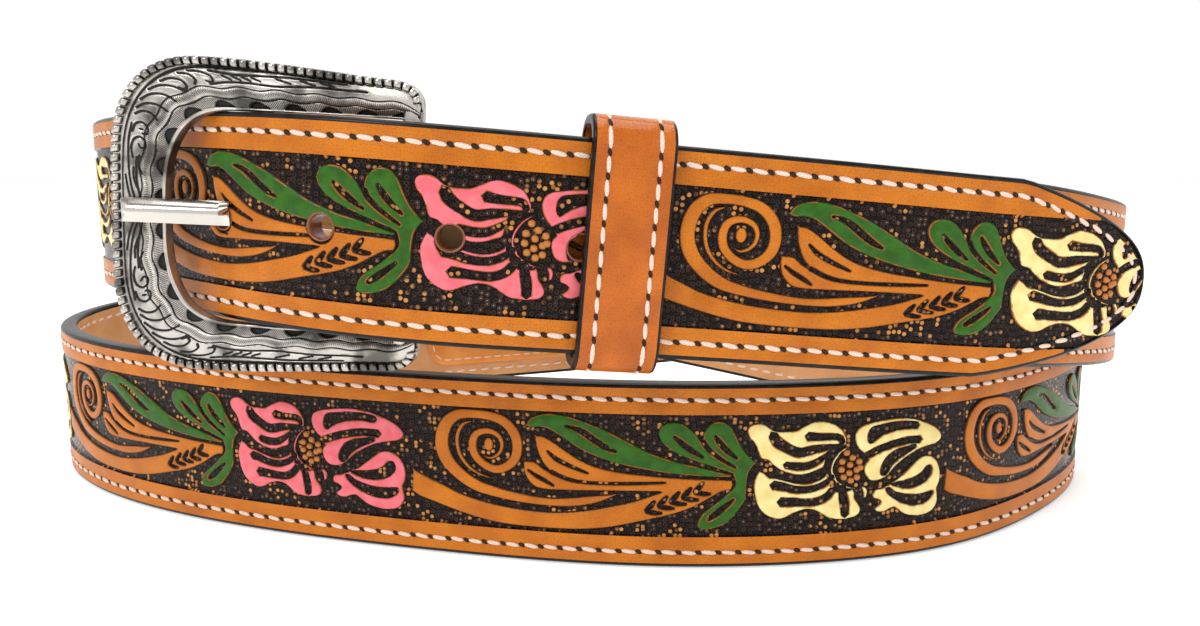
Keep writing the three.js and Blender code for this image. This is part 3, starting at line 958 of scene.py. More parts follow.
@dataclass(frozen=True)
class PolishedSilver:
    """Polished metal with faint lengthwise scratches."""

    name: str = "polished_silver"
    colour: Colour = (0.62, 0.585, 0.53)

    def make(self) -> Material:
        """Mix the finish."""
        bench = Bench(self.name)
        place = bench.object_place()
        streak = bench.noise(place, 500.0, 3.0)
        colour = bench.mix(streak * 0.4, self.colour, dimmed(self.colour, 0.8))
        relief = bench.bump(streak, 0.00001)
        return bench.finish(colour=colour, metallic=1.0, roughness=0.1 + streak * 0.1, normal=relief)


# Meshes


def select(*pieces: Piece) -> None:
    """Select these pieces alone, the first as the active one."""
    bpy.ops.object.select_all(action="DESELECT")
    for piece in pieces:
        piece.select_set(True)
    if pieces:
        bpy.context.view_layer.objects.active = pieces[0]


def make_piece(
    name: str,
    points: Array,
    faces: list,
    materials: list[Material],
    uv: Array | None = None,
    zones: list[int] | None = None,
    rise: Array | None = None,
    angle: float | None = None,
    merge: bool = True,
) -> Piece:
    """Make a mesh piece in the object's frame.

    Args:
        name: the piece's name.
        points: the corners in metres.
        faces: the faces' corners.
        materials: its finishes.
        uv: strap coordinates of each point, in millimetres.
        zones: each face's finish.
        rise: how far up its relief each point is, from 0 to 1.
        angle: the angle in degrees past which an edge stays sharp; None for smooth all over.
        merge: whether doubled points are joined.

    Returns:
        The object.
    """
    mesh = bpy.data.meshes.new(name)
    corners = [tuple(int(v) for v in f) for f in faces]
    mesh.from_pydata(np.asarray(points, dtype=float).tolist(), [], corners)
    for material in materials:
        mesh.materials.append(material)
    if zones is not None:
        mesh.polygons.foreach_set("material_index", zones)
    if rise is not None:
        add_values(mesh, "rise", rise)
    if uv is not None:
        layer = mesh.uv_layers.new(name="strap")
        corner = np.empty(len(mesh.loops), dtype=np.int32)
        mesh.loops.foreach_get("vertex_index", corner)
        layer.data.foreach_set("uv", np.asarray(uv, dtype=np.float32)[corner].ravel())
    if merge:
        work = bmesh.new()
        work.from_mesh(mesh)
        bmesh.ops.remove_doubles(work, verts=work.verts, dist=0.00001)
        bmesh.ops.dissolve_degenerate(work, edges=work.edges, dist=0.000002)
        work.to_mesh(mesh)
        work.free()
    mesh.validate()
    piece = bpy.data.objects.new(name, mesh)
    bpy.context.scene.collection.objects.link(piece)
    select(piece)
    if angle is None:
        bpy.ops.object.shade_smooth()
    else:
        bpy.ops.object.shade_smooth_by_angle(angle=math.radians(angle))
    piece.select_set(False)
    return piece


def add_values(mesh: bpy.types.Mesh, name: str, values: Array) -> None:
    """Give a mesh one number at each point for its finish to read."""
    attribute = mesh.attributes.new(name, "FLOAT", "POINT")
    attribute.data.foreach_set("value", np.asarray(values, dtype=np.float32))


def face_out(piece: Piece) -> None:
    """Turn a piece's faces outward."""
    work = bmesh.new()
    work.from_mesh(piece.data)
    bmesh.ops.recalc_face_normals(work, faces=work.faces)
    work.to_mesh(piece.data)
    work.free()


def belong(piece: Piece, slot: str, *nodes: str) -> None:
    """Let a piece ride on the belt and stand for nodes."""
    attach(piece, BODY)
    if nodes:
        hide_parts(*nodes)
    log.info("%s: %d faces", piece.name, len(piece.data.polygons))


@dataclass
class Prototype:
    """A small shape that is modelled once and copied along the strap."""

    points: Array
    faces: Faces

    @classmethod
    def taken(cls) -> Prototype:
        """Take the shape of the primitive that was just added, and remove it."""
        source = bpy.context.active_object
        mesh = source.data
        points = np.array([v.co[:] for v in mesh.vertices])
        faces = [tuple(p.vertices) for p in mesh.polygons]
        bpy.data.objects.remove(source)
        bpy.data.meshes.remove(mesh)
        return cls(points, faces)

    @classmethod
    def pill(cls, size: tuple[float, float, float], segments: int, rings: int) -> Prototype:
        """Model a lengthwise pill from a sphere primitive."""
        select()
        bpy.ops.mesh.primitive_uv_sphere_add(segments=segments, ring_count=rings, radius=1.0)
        bpy.context.active_object.rotation_euler = (0, math.pi / 2, 0)
        bpy.ops.object.transform_apply(location=True, rotation=True, scale=True)
        shape = cls.taken()
        shape.points[:, 0] = np.sign(shape.points[:, 0]) * np.abs(shape.points[:, 0]) ** 0.75
        shape.points = shape.points * (np.array(size) / 2)
        return shape

    @classmethod
    def rod(cls, radius: float, length: float, sides: int) -> Prototype:
        """Model an upright rod from a cylinder primitive."""
        select()
        bpy.ops.mesh.primitive_cylinder_add(vertices=sides, radius=radius, depth=length)
        return cls.taken()


@dataclass
class Stamp:
    """Copies of a prototype on the strap or the keeper, collected for one piece."""

    ground: Coil | Keeper
    face: Face
    prototype: Prototype
    points: list[Array] = field(default_factory=list)
    faces: Faces = field(default_factory=list)
    uv: list[Array] = field(default_factory=list)
    count: int = 0

    def add(self, s: float, height: float, outward: float, angle: float, size: float = 1.0) -> None:
        """Lay one copy down.

        Args:
            s: its distance from the tip.
            height: its height on the strap.
            outward: the level of its middle.
            angle: how far its length is turned from the strap's, in radians.
            size: its scale.
        """
        local = self.prototype.points * size
        cos, sin = math.cos(angle), math.sin(angle)
        along = local[:, 0] * cos - local[:, 1] * sin
        up = local[:, 0] * sin + local[:, 1] * cos
        side = self.face.value
        self.points.append(self.ground.place(s + along, (outward + local[:, 2]) * side, height + up))
        self.uv.append(np.column_stack([s + local[:, 0], height + local[:, 1]]))
        self.faces += [f[::side] for f in shifted(self.prototype.faces, self.count)]
        self.count += len(local)

    def piece(self, name: str, material: Material) -> Piece:
        """Join the copies into one piece with its faces outward."""
        points, uv = np.vstack(self.points), np.vstack(self.uv)
        piece = make_piece(name, points, self.faces, [material], uv=uv, merge=False)
        face_out(piece)
        return piece


# Strap


class Zone(IntEnum):
    """The finishes of the tooled layer, in the order of its slots."""

    EDGE = 0
    FACE = 1
    GROUND = 2
    LINING = 3


def nose_sections(count: int) -> Array:
    """Space sections over the tip, crowded towards its end."""
    return 44 * np.linspace(0, 1, count) ** 2.4


@dataclass
class StrapBody:
    """The tooled outer layer: raised borders with stitch grooves, a sunk ground and black edges."""

    coil: Coil
    field_low: float = 6.8
    field_high: float = 31.6
    sink: float = 0.5
    rim: float = 0.9
    groove_inset: float = STITCH_INSET
    groove_half: float = 0.85
    groove_depth: float = 0.2
    fold_back: float = 30.0
    fold_steps: int = 12
    bank: float = 0.28

    def outward(self, s: Array, height: Array, edge: Array, middle: float) -> Array:
        """Give the outer face's level.

        Args:
            s: distances from the tip.
            height: heights on the strap.
            edge: distances to the nearest edge.
            middle: share of the relief that is left, 0 where the layer is plain.

        Returns:
            The level of each point, in millimetres from the strap's middle.
        """
        level = np.full(len(s), HALF)
        near = np.clip(self.rim - edge, 0, self.rim)
        level -= self.rim - np.sqrt(np.maximum(self.rim**2 - near**2, 0))
        groove = np.clip(1 - np.abs(edge - self.groove_inset) / self.groove_half, 0, 1)
        level -= self.groove_depth * np.sin(groove * math.pi / 2) * middle
        lifted = height + self.drop(s)
        sunk = (lifted > self.field_low - 0.01) & (lifted < self.field_high + 0.01) & (edge > self.rim)
        level[sunk] = HALF - self.sink * middle
        return level

    @staticmethod
    def drop(s: Array | float) -> Array | float:
        """Give how much lower the field lies on the free end than elsewhere."""
        return np.interp(s, [0, 130, 210, 270], [0.6, 0.5, 0.35, 0.0])

    def heights(self, s: float) -> Array:
        """Give the heights of one section's points, from the lower edge to the upper."""
        insets = (0.0, 0.06, 0.2, 0.45, 0.7, 0.9, 2.4, 2.8, 3.25, 3.7, 4.1)
        low, high = self.coil.edges(np.array([s]))
        low, high = float(low[0]), float(high[0])
        drop = self.drop(s)
        banks = [self.field_low - self.bank - drop, self.field_low - drop]
        banks += [self.field_high - drop, self.field_high + self.bank - drop]
        if s >= TIP_END:
            down, up = list(insets), [STRAP_WIDTH - d for d in insets]
        else:
            line = np.linspace(low, high, 500)
            edge = self.coil.edge_distance(np.full(500, s), line)
            down, up = [], []
            for inset in insets:
                inside = np.nonzero(edge >= inset - 1e-9)[0]
                middle = line[int(edge.argmax())]
                down.append(line[inside[0]] if len(inside) else middle)
                up.append(line[inside[-1]] if len(inside) else middle)
            down[0], up[0] = low, high
        at_rim = insets.index(self.rim)
        banks = [min(max(h, down[at_rim]), up[at_rim]) for h in banks]
        inner = np.linspace(banks[1], banks[2], 8)[1:-1]
        return np.array(sorted(down + banks + list(inner) + up))

    def sections(self) -> Array:
        """Give the distances of the sections."""
        rest = np.arange(45.5, self.coil.total - 2, 1.5)
        return np.concatenate([nose_sections(34), rest, [self.coil.total]])

    def build(self, finishes: list[Material]) -> Piece:
        """Build the layer with its fold round the heel bar."""
        rings, uvs, edges_at, height_at = [], [], [], []
        for s in self.sections():
            rows = self.heights(float(s))
            edge = self.coil.edge_distance(np.full(len(rows), s), rows)
            ease = float(np.clip((self.coil.total - 8 - s) / 6, 0, 1))
            level = self.outward(np.full(len(rows), s), rows, edge, ease)
            inner = HALF - TOOLED_LAYER - self.bank * ease
            heights = np.concatenate([rows, [rows[-1], rows[0]]])
            column = np.full(len(heights), s)
            rings.append(self.coil.place(column, np.concatenate([level, [inner, inner]]), heights))
            uvs.append(np.column_stack([column, heights]))
            edges_at.append(np.concatenate([edge, [0, 0]]))
            height_at.append(np.concatenate([rows + self.drop(float(s)), [-5, -5]]))
        self.add_fold(rings, uvs, edges_at, height_at)
        size = len(rings[0])
        edges_at, height_at = np.concatenate(edges_at), np.concatenate(height_at)
        faces, zones = sweep(len(rings), size), []
        for a, b, c, d in faces:
            i = a % size
            edge = (edges_at[a] + edges_at[d] + edges_at[b] + edges_at[c]) / 4
            height = (height_at[a] + height_at[d]) / 2
            if i >= size - 3:
                zones.append(Zone.LINING if i == size - 2 else Zone.EDGE)
            elif edge < self.rim - 0.05:
                zones.append(Zone.EDGE)
            elif self.field_low - 0.2 < height < self.field_high + 0.2:
                zones.append(Zone.GROUND)
            else:
                zones.append(Zone.FACE)
        faces.append(lids(len(rings), size)[1])
        zones.append(Zone.LINING)
        points, uv = np.vstack(rings), np.vstack(uvs)
        return make_piece("tooled_leather", points, faces, finishes, uv=uv, zones=zones, angle=50)

    def add_fold(self, rings: list, uvs: list, edges_at: list, height_at: list) -> None:
        """Turn the layer round the heel bar and lay it back on the lining."""
        total = self.coil.total
        rows = self.heights(total)
        edge = np.minimum(rows, STRAP_WIDTH - rows)
        point, out, up, along = self.coil.frame_at(total)
        centre_level = HALF - TOOLED_LAYER / 2 - BUCKLE_FOLD
        centre = point + out * centre_level
        relief = self.outward(np.full(len(rows), total), rows, edge, 0.0) - HALF
        places = []
        for i in range(1, self.fold_steps + 1):
            angle = i / self.fold_steps * math.pi
            turned = out * math.cos(angle) + along * math.sin(angle)
            places.append((centre, turned, up, BUCKLE_FOLD, 0.0))
        leaving = centre_level - BUCKLE_FOLD
        lying = -(HALF + AIR + TOOLED_LAYER / 2)
        for i in range(1, self.fold_steps + 1):
            back = self.fold_back * i / self.fold_steps
            here, here_out, here_up, _ = self.coil.frame_at(total - back)
            ease = min(1.0, back / 14)
            ease = ease * ease * (3 - 2 * ease)
            places.append((here, -here_out, here_up, -(leaving + (lying - leaving) * ease), back))
        for here, here_out, here_up, middle, back in places:
            level = middle + TOOLED_LAYER / 2 + relief
            inner = middle - TOOLED_LAYER / 2
            levels = np.concatenate([level, [inner, inner]])
            heights = np.concatenate([rows, [rows[-1], rows[0]]])
            rings.append((here + np.outer(levels, here_out) + np.outer(heights, here_up)) * MM)
            uvs.append(np.column_stack([np.full(len(levels), total + 10 + back), heights]))
            edges_at.append(np.concatenate([edge, [0, 0]]))
            height_at.append(np.full(len(heights), 3.0))


@dataclass
class LiningBody:
    """The plain inner layer with its black painted edges."""

    coil: Coil
    stop: float = 7.0
    round: float = 0.5

    def build(self, finishes: list[Material]) -> Piece:
        """Build the layer."""
        inner, outer = -HALF, -HALF + LINING_LAYER - SEAM
        rest = np.arange(46, self.coil.total - self.stop, 2.0)
        sections = np.concatenate([nose_sections(30), rest])
        rings, uvs = [], []
        profile = ((0.0, outer), (0.0, inner + self.round), (0.18, inner + 0.15))
        profile += ((self.round, inner), (0.95, inner))
        for s in sections:
            low, high = (float(v[0]) for v in self.coil.edges(np.array([s])))
            half = (high - low) / 2
            fit = lambda inset: min(inset, half * 0.98)
            down = [(low + fit(i), level) for i, level in profile]
            up = [(high - fit(i), level) for i, level in profile][::-1]
            shares = (0.25, 0.5, 0.75) if half > 2 else (0.5, 0.5, 0.5)
            rows = down + [(low + (high - low) * f, inner) for f in shares] + up
            heights = np.array([r[0] for r in rows])
            levels = np.array([r[1] for r in rows])
            rings.append(self.coil.place(np.full(len(rows), s), levels, heights))
            uvs.append(np.column_stack([np.full(len(rows), s), heights]))
        size = len(rings[0])
        faces = [f[::-1] for f in sweep(len(rings), size)]
        columns = [f[-1] % size for f in faces]
        zones = [int(i < 4 or size - 5 <= i < size - 1) for i in columns] + [0]
        faces.append(lids(len(rings), size)[1][::-1])
        points, uv = np.vstack(rings), np.vstack(uvs)
        return make_piece("lining_leather", points, faces, finishes, uv=uv, zones=zones, angle=50)


# Tooled pattern, charted in millimetres: across to the right of a swirl's middle, up, and width


SWIRL_ARM = [
    (27.2, 15.3, 0.25), (25, 14.5, 1.1), (22, 13.8, 1.8), (18, 13.15, 2), (14, 12.9, 1.8),
    (10, 13.05, 1.9), (6, 13.5, 2.1), (2, 14.2, 2.3), (-2, 15.3, 2.6), (-5.6, 17.6, 2.8),
    (-8.2, 20.6, 3), (-9.1, 24.2, 3), (-8.1, 28, 2.8), (-5.8, 30.1, 2.4), (-2.6, 30.5, 2.1),
    (0.6, 30.3, 2.1), (3.6, 29.4, 2.3), (5.7, 27.4, 2.4), (6.6, 24.8, 2.4), (6.2, 21.9, 2.3),
    (4.4, 19.9, 2.1), (2, 19.1, 2), (-0.4, 19.9, 1.9), (-2.3, 21.8, 1.9), (-2.8, 24.2, 1.9),
    (-2, 26.3, 1.7), (0.2, 27.1, 1.5), (2.4, 26.4, 1.3), (3.3, 24.9, 1.15), (3.1, 23.1, 1),
    (2, 21.9, 0.9), (0.6, 21.4, 0.7), (-0.6, 21.9, 0.3),
]
SWIRL_STRIP = [
    (-2.8, 29, 0.4), (-4.5, 28.3, 0.9), (-5.7, 26.3, 1), (-5.9, 24, 1), (-5.3, 21.5, 1),
    (-3.7, 19.3, 0.9), (-1.6, 17.9, 0.7), (0.8, 17.2, 0.3),
]
STEM = [
    (-15.6, 13, "c"), (-14, 12), (-11, 11), (-7, 9.7), (-3, 8.6), (1, 7.8), (5, 7.4), (10, 7.25),
    (16, 7.25), (21, 7.5), (26, 8.2), (30, 9.1), (34, 10.1), (38, 11.1), (41, 12.1), (44, 13.5),
    (46.5, 15), (48.5, 16.1), (50.2, 16.4, "c"), (50.6, 17.5), (50.3, 18.5, "c"), (47, 18.65),
    (42, 18.8), (37, 19.1), (33, 19.4), (29, 19.75), (25, 20.35), (22, 21.15), (19.5, 22.25),
    (17, 23.75), (14.5, 25.45), (12.2, 26.65), (10.3, 26.8, "c"), (10.5, 25), (11.1, 22.9),
    (12.2, 20.8), (13.9, 19.1, "c"), (12, 20), (10.5, 21.1), (9.2, 21.3), (7.9, 21.2, "c"),
    (7.9, 19.8), (8.3, 18.2), (9.2, 16.8), (10.6, 15.8), (13, 15.45), (16, 15.5), (20, 15.6),
    (24, 15.75), (28, 15.85), (32, 15.9), (36.3, 15.95, "c"), (34.5, 15.3), (31, 14), (26, 12.7),
    (22, 11.8), (18, 11.15), (14, 10.8), (10, 10.85), (6, 11.1), (2, 11.6), (-2, 12.4), (-6, 13.6),
    (-9, 15), (-11.5, 16), (-14, 17.2), (-15.3, 17.9, "c"),
]
STEM_CUTS = [
    [
        (13.7, 19.3, 0.6), (17, 18, 0.5), (20, 17.5, 0.4), (25, 17.4, 0.35), (31, 17.6, 0.35),
        (37, 17.9, 0.12),
    ],
    [(13, 23.6, 0.15), (14.6, 22.2, 0.6), (17.5, 20.8, 0.55), (21.3, 19.4, 0.15)],
    [(8.9, 19.4, 0.15), (10.6, 18.3, 0.5), (12.6, 17.3, 0.5), (14.2, 16.4, 0.15)],
]
CHEVRONS = [(33.3, 11.9), (35.8, 13), (38.2, 13.9), (40.6, 14.8), (43, 16)]
CHEVRON_CUTS = [
    [(0, 0, 0.85), (0.8, 1.1, 0.8), (1.5, 2, 0.4)],
    [(0, 0, 0.8), (1.5, -0.35, 0.7), (2.9, -0.4, 0.35)],
]
LONG_LEAF = [
    (8.4, 28.7, "c"), (9.2, 30.1), (10.7, 31), (12.7, 31.5), (15, 31.45), (17.8, 31), (20.8, 30.05),
    (24, 28.9), (27, 27.5), (30, 26), (33.8, 24.1), (37, 23), (40, 22.1), (43.5, 21.35), (47, 20.4),
    (50.2, 19.6, "c"), (50, 18.95, "c"), (45.3, 19.1), (42, 19.35), (38, 19.7), (34, 20.25),
    (30, 20.95), (26.5, 21.75), (23, 22.85), (20, 24.1), (17.5, 25.6), (15, 27.2), (13, 28.2),
    (11.3, 28.45), (9.6, 28.3),
]
LONG_LEAF_CUT = [
    (16.7, 29, 0.15), (18.7, 28.6, 0.6), (20.8, 27.6, 1), (23, 26.1, 1), (25, 24.9, 0.8),
    (27, 24.05, 0.2),
]
CALYX = [
    (55.2, 22, "c"), (54.1, 23), (52.9, 24.3), (51.7, 26.2), (50.9, 27.9), (50, 29.4), (48.7, 30.4),
    (46.9, 30.6), (45.5, 29.8), (44.6, 28.6), (44.3, 27.2), (44.6, 25.9, "c"), (43.9, 26.6),
    (43, 27.9), (41.8, 29.1), (40.3, 30.1), (38.6, 30.45), (37, 30.2), (35.8, 29.3), (35.4, 28),
    (36, 26.4), (37.5, 24.9), (40, 23.5), (43, 22.3), (46, 21.3), (50.4, 19.75, "c"), (50.8, 18.6),
    (50.9, 17.4), (50.2, 16.4, "c"), (49, 15.3), (47.4, 13.9), (45.7, 12.6), (44.4, 11.4), (43.6, 10),
    (43.4, 8.8), (44.2, 8.1), (45.8, 8.05), (47.6, 8.5), (49.4, 9.4), (51, 11), (52.4, 12.9),
    (53.2, 14.4), (53.35, 16), (53.4, 18), (53.7, 19.8), (54.3, 20.9),
]
CALYX_CUTS = [
    [(44.4, 26.5, 0.8), (45.2, 25.2, 0.7), (47.5, 23.2, 0.55), (51, 21, 0.15)],
    [(38.7, 27.4, 0.3), (40, 26.2, 0.8), (42, 24.7, 0.8), (44.4, 23.2, 0.2)],
    [(46.8, 27.5, 0.4), (47.8, 26.1, 0.9), (49.3, 24.5, 0.8), (51.3, 22.9, 0.2)],
    [(45.7, 10.3, 0.6), (47.2, 11.4, 1), (49, 12.9, 0.8), (50.7, 14.4, 0.25)],
]
PETALS = [
    [
        (73.7, 25, "c"), (73.9, 26.2), (73.4, 27.4), (72.5, 28.6), (71.2, 29.4), (69.5, 30),
        (67.5, 30.2), (66, 29.8), (64.7, 29.2), (63.2, 28.5), (61.5, 28.3), (59, 28.4), (58, 28.9),
        (56.5, 29.9), (55, 30.1), (53.7, 29.7), (53.1, 28.7), (53.5, 27.3), (54.5, 26.2), (55.2, 24.8),
        (55.6, 23.5), (56.1, 22.7), (57.5, 22.3), (58.7, 21.3), (60, 20.3), (61.5, 19.6), (63.5, 19.1),
        (65.5, 19.2), (67.5, 19.8), (69, 20.4), (69.4, 21.2), (69.3, 22.1, "c"), (69.9, 23.9, "c"),
        (71.6, 25),
    ],
    [
        (55.8, 20.3, "c"), (56.8, 19.8), (57.9, 18.9), (59.5, 18.6), (61.5, 18), (64, 17.4),
        (66.5, 17.4), (68.5, 18), (69.8, 18.9, "c"), (70.3, 17.5), (71.2, 16), (72.2, 15.2),
        (74, 15.1), (75.6, 15.6, "c"), (76, 14.8), (76.2, 13.6), (77.1, 12.3), (77.5, 11.2),
        (77.3, 10.3), (76.4, 9.6), (75, 9.3), (73, 9.2), (71, 9.5), (69.6, 10.2), (68.3, 11.1),
        (67, 11.6), (65.2, 11.7), (63.2, 11.1), (61.6, 10.3), (59.8, 9.9), (57.7, 10.7), (56.2, 12),
        (55.3, 13.7), (54.9, 15.4), (54.6, 17.2), (55, 18.8),
    ],
    [
        (77.9, 22.7, "c"), (76.6, 23.9), (75.8, 25.4), (75.6, 26.8), (76.2, 28.2), (77.6, 29),
        (79.7, 29.4), (82.5, 29.8), (85.5, 29.9), (88.5, 29.5), (91.2, 28.7), (93.5, 27.7),
        (95.1, 26.6), (96, 25.4), (95.9, 24.4), (94.8, 23.6), (92.5, 23.1), (90, 22.5), (87.7, 21.4),
        (85.4, 19.9), (83.6, 18.3), (82.3, 17.3), (80.8, 16.8), (79.3, 17.1), (78.3, 18.1),
        (77.9, 19.6), (78.1, 20.8), (78.8, 21.6),
    ],
    [
        (84.4, 16.2, "c"), (86.2, 17.3), (88, 18.8), (89.5, 20), (91, 21), (92.2, 21.2), (93.8, 20.9),
        (95, 20), (95.8, 18.6), (96.2, 17), (96.1, 15.2), (95.5, 13.8, "c"), (95.7, 12.5), (95.8, 11),
        (95.2, 9.6), (94, 8.7), (92, 8.2), (89.5, 8.4), (87.5, 9.1), (86, 10.1), (85, 10.8, "c"),
        (84, 10.5), (82.7, 10), (81.2, 10.2), (80.6, 10.9), (81.4, 11.6), (81.9, 12.3), (81.2, 12.8),
        (80.2, 13.2), (80, 14.2), (80.6, 15), (82, 15.2), (83.2, 15.7),
    ],
    [(77.5, 15.8), (78.2, 15.9), (78.9, 15), (78.6, 13.5), (78, 13.4), (77.9, 14.6)],
]
FLOWER_RIM = [
    (74.1, 24.5, 0.3), (72.5, 23.3, 0.55), (71.2, 21.4, 0.6), (70.9, 19.6, 0.6), (71.7, 17.8, 0.6),
    (73.1, 16.5, 0.5), (74.8, 15.9, 0.4), (76, 15.7, 0.25),
]
PETAL_GROOVES = [
    [
        (65.7, 27.1, 1.6), (68, 26.85, 1.3), (70.5, 26.8, 1.1), (72.2, 26.6, 1.1), (73, 25.5, 0.9),
        (72.3, 24.6, 0.8),
    ],
    [
        (58.4, 27.6, 1.7), (59.3, 26.2, 1.9), (61.5, 24.8, 1.7), (64, 23.8, 1.7), (67, 24.3, 1.5),
        (69.5, 24.6, 1), (72.5, 24.7, 0.8),
    ],
    [(61.2, 21.3, 1.2), (63.5, 20.9, 1.4), (66, 21, 1.3), (68, 21.9, 1), (70, 23.1, 0.8)],
    [
        (58.8, 17.2, 1.7), (60.5, 16.9, 1.5), (63, 16.2, 1.3), (65.5, 15.95, 1.2), (68, 16.4, 1.1),
        (70.3, 17.6, 1), (71.2, 18.6, 0.9),
    ],
    [
        (60.4, 13.6, 1.8), (62.5, 13.5, 1.6), (65.5, 13.3, 1.4), (68, 13.4, 1.4), (70, 14.3, 1.4),
        (71.4, 15.8, 1.3), (72.2, 16.8, 1),
    ],
    [(73.3, 16.3, 1.4), (73.5, 14.5, 1.6), (74, 12, 1.7), (74.1, 10.2, 1.5)],
    [
        (78, 22.2, 1.2), (80, 23.1, 1.3), (82.3, 23.9, 1.3), (84.8, 24.5, 1.3), (87.5, 24.9, 1.3),
        (90.5, 24.8, 1.4),
    ],
]
PETAL_HOLLOWS = [
    [
        (78.6, 25.6), (78.7, 27.2), (79.4, 28.2), (81.5, 28.6), (84, 28.9), (87, 28.9), (89.5, 28.6),
        (90.2, 28), (89.8, 27.3), (87, 27.5), (84, 27.2), (81.7, 26.5), (80.2, 25.6), (79.2, 24.9),
    ],
    [
        (89.5, 24), (87.5, 23.5), (85, 23), (83, 21.8), (81.9, 20), (81.8, 18.3), (82.8, 18),
        (83.5, 18.8), (84.3, 20), (85.8, 21.2), (88, 22.4), (89.7, 23.3),
    ],
    [
        (92.4, 18.7), (93.4, 18.9), (93.9, 18), (93.6, 16.8), (92.4, 15.6), (90.5, 14.9), (88, 14.7),
        (85.8, 15.2), (84, 16.1), (86, 16.2), (88.5, 16.5), (90.7, 17.2), (91.8, 18),
    ],
    [
        (94.4, 13.2), (94.2, 12.2), (93, 11.2), (91, 10.8), (88.5, 11.1), (86, 12.2), (84, 13.6),
        (83, 15.1), (83.6, 15.2), (85, 14.2), (87, 13.5), (89.5, 13), (92, 13),
    ],
]
FLOWER_BEADS = [
    (74.1, 23.2), (75.4, 22.1), (76.9, 21.2), (73.2, 21.4), (74.9, 20.6), (73.1, 19.7), (76.4, 19.5),
    (74.8, 18.9), (73.6, 18.1), (76.5, 17.9), (75.2, 17.3), (77.2, 19.9),
]


class Motif(Enum):
    """The finishes that the tooled pattern is raised in."""

    TAN = "tan"
    GREEN = "green"
    PINK = "pink"
    CREAM = "cream"


@dataclass
class Store:
    """The relief of one finish, collected from repeat to repeat."""

    points: list[Array] = field(default_factory=list)
    faces: Faces = field(default_factory=list)
    uv: list[Array] = field(default_factory=list)
    rise: list[Array] = field(default_factory=list)

    def piece(self, name: str, finish: Material) -> Piece:
        """Join the relief into one piece."""
        uv, rise = np.vstack(self.uv), np.concatenate(self.rise)
        return make_piece(name, np.vstack(self.points), self.faces, [finish], uv=uv, rise=rise)


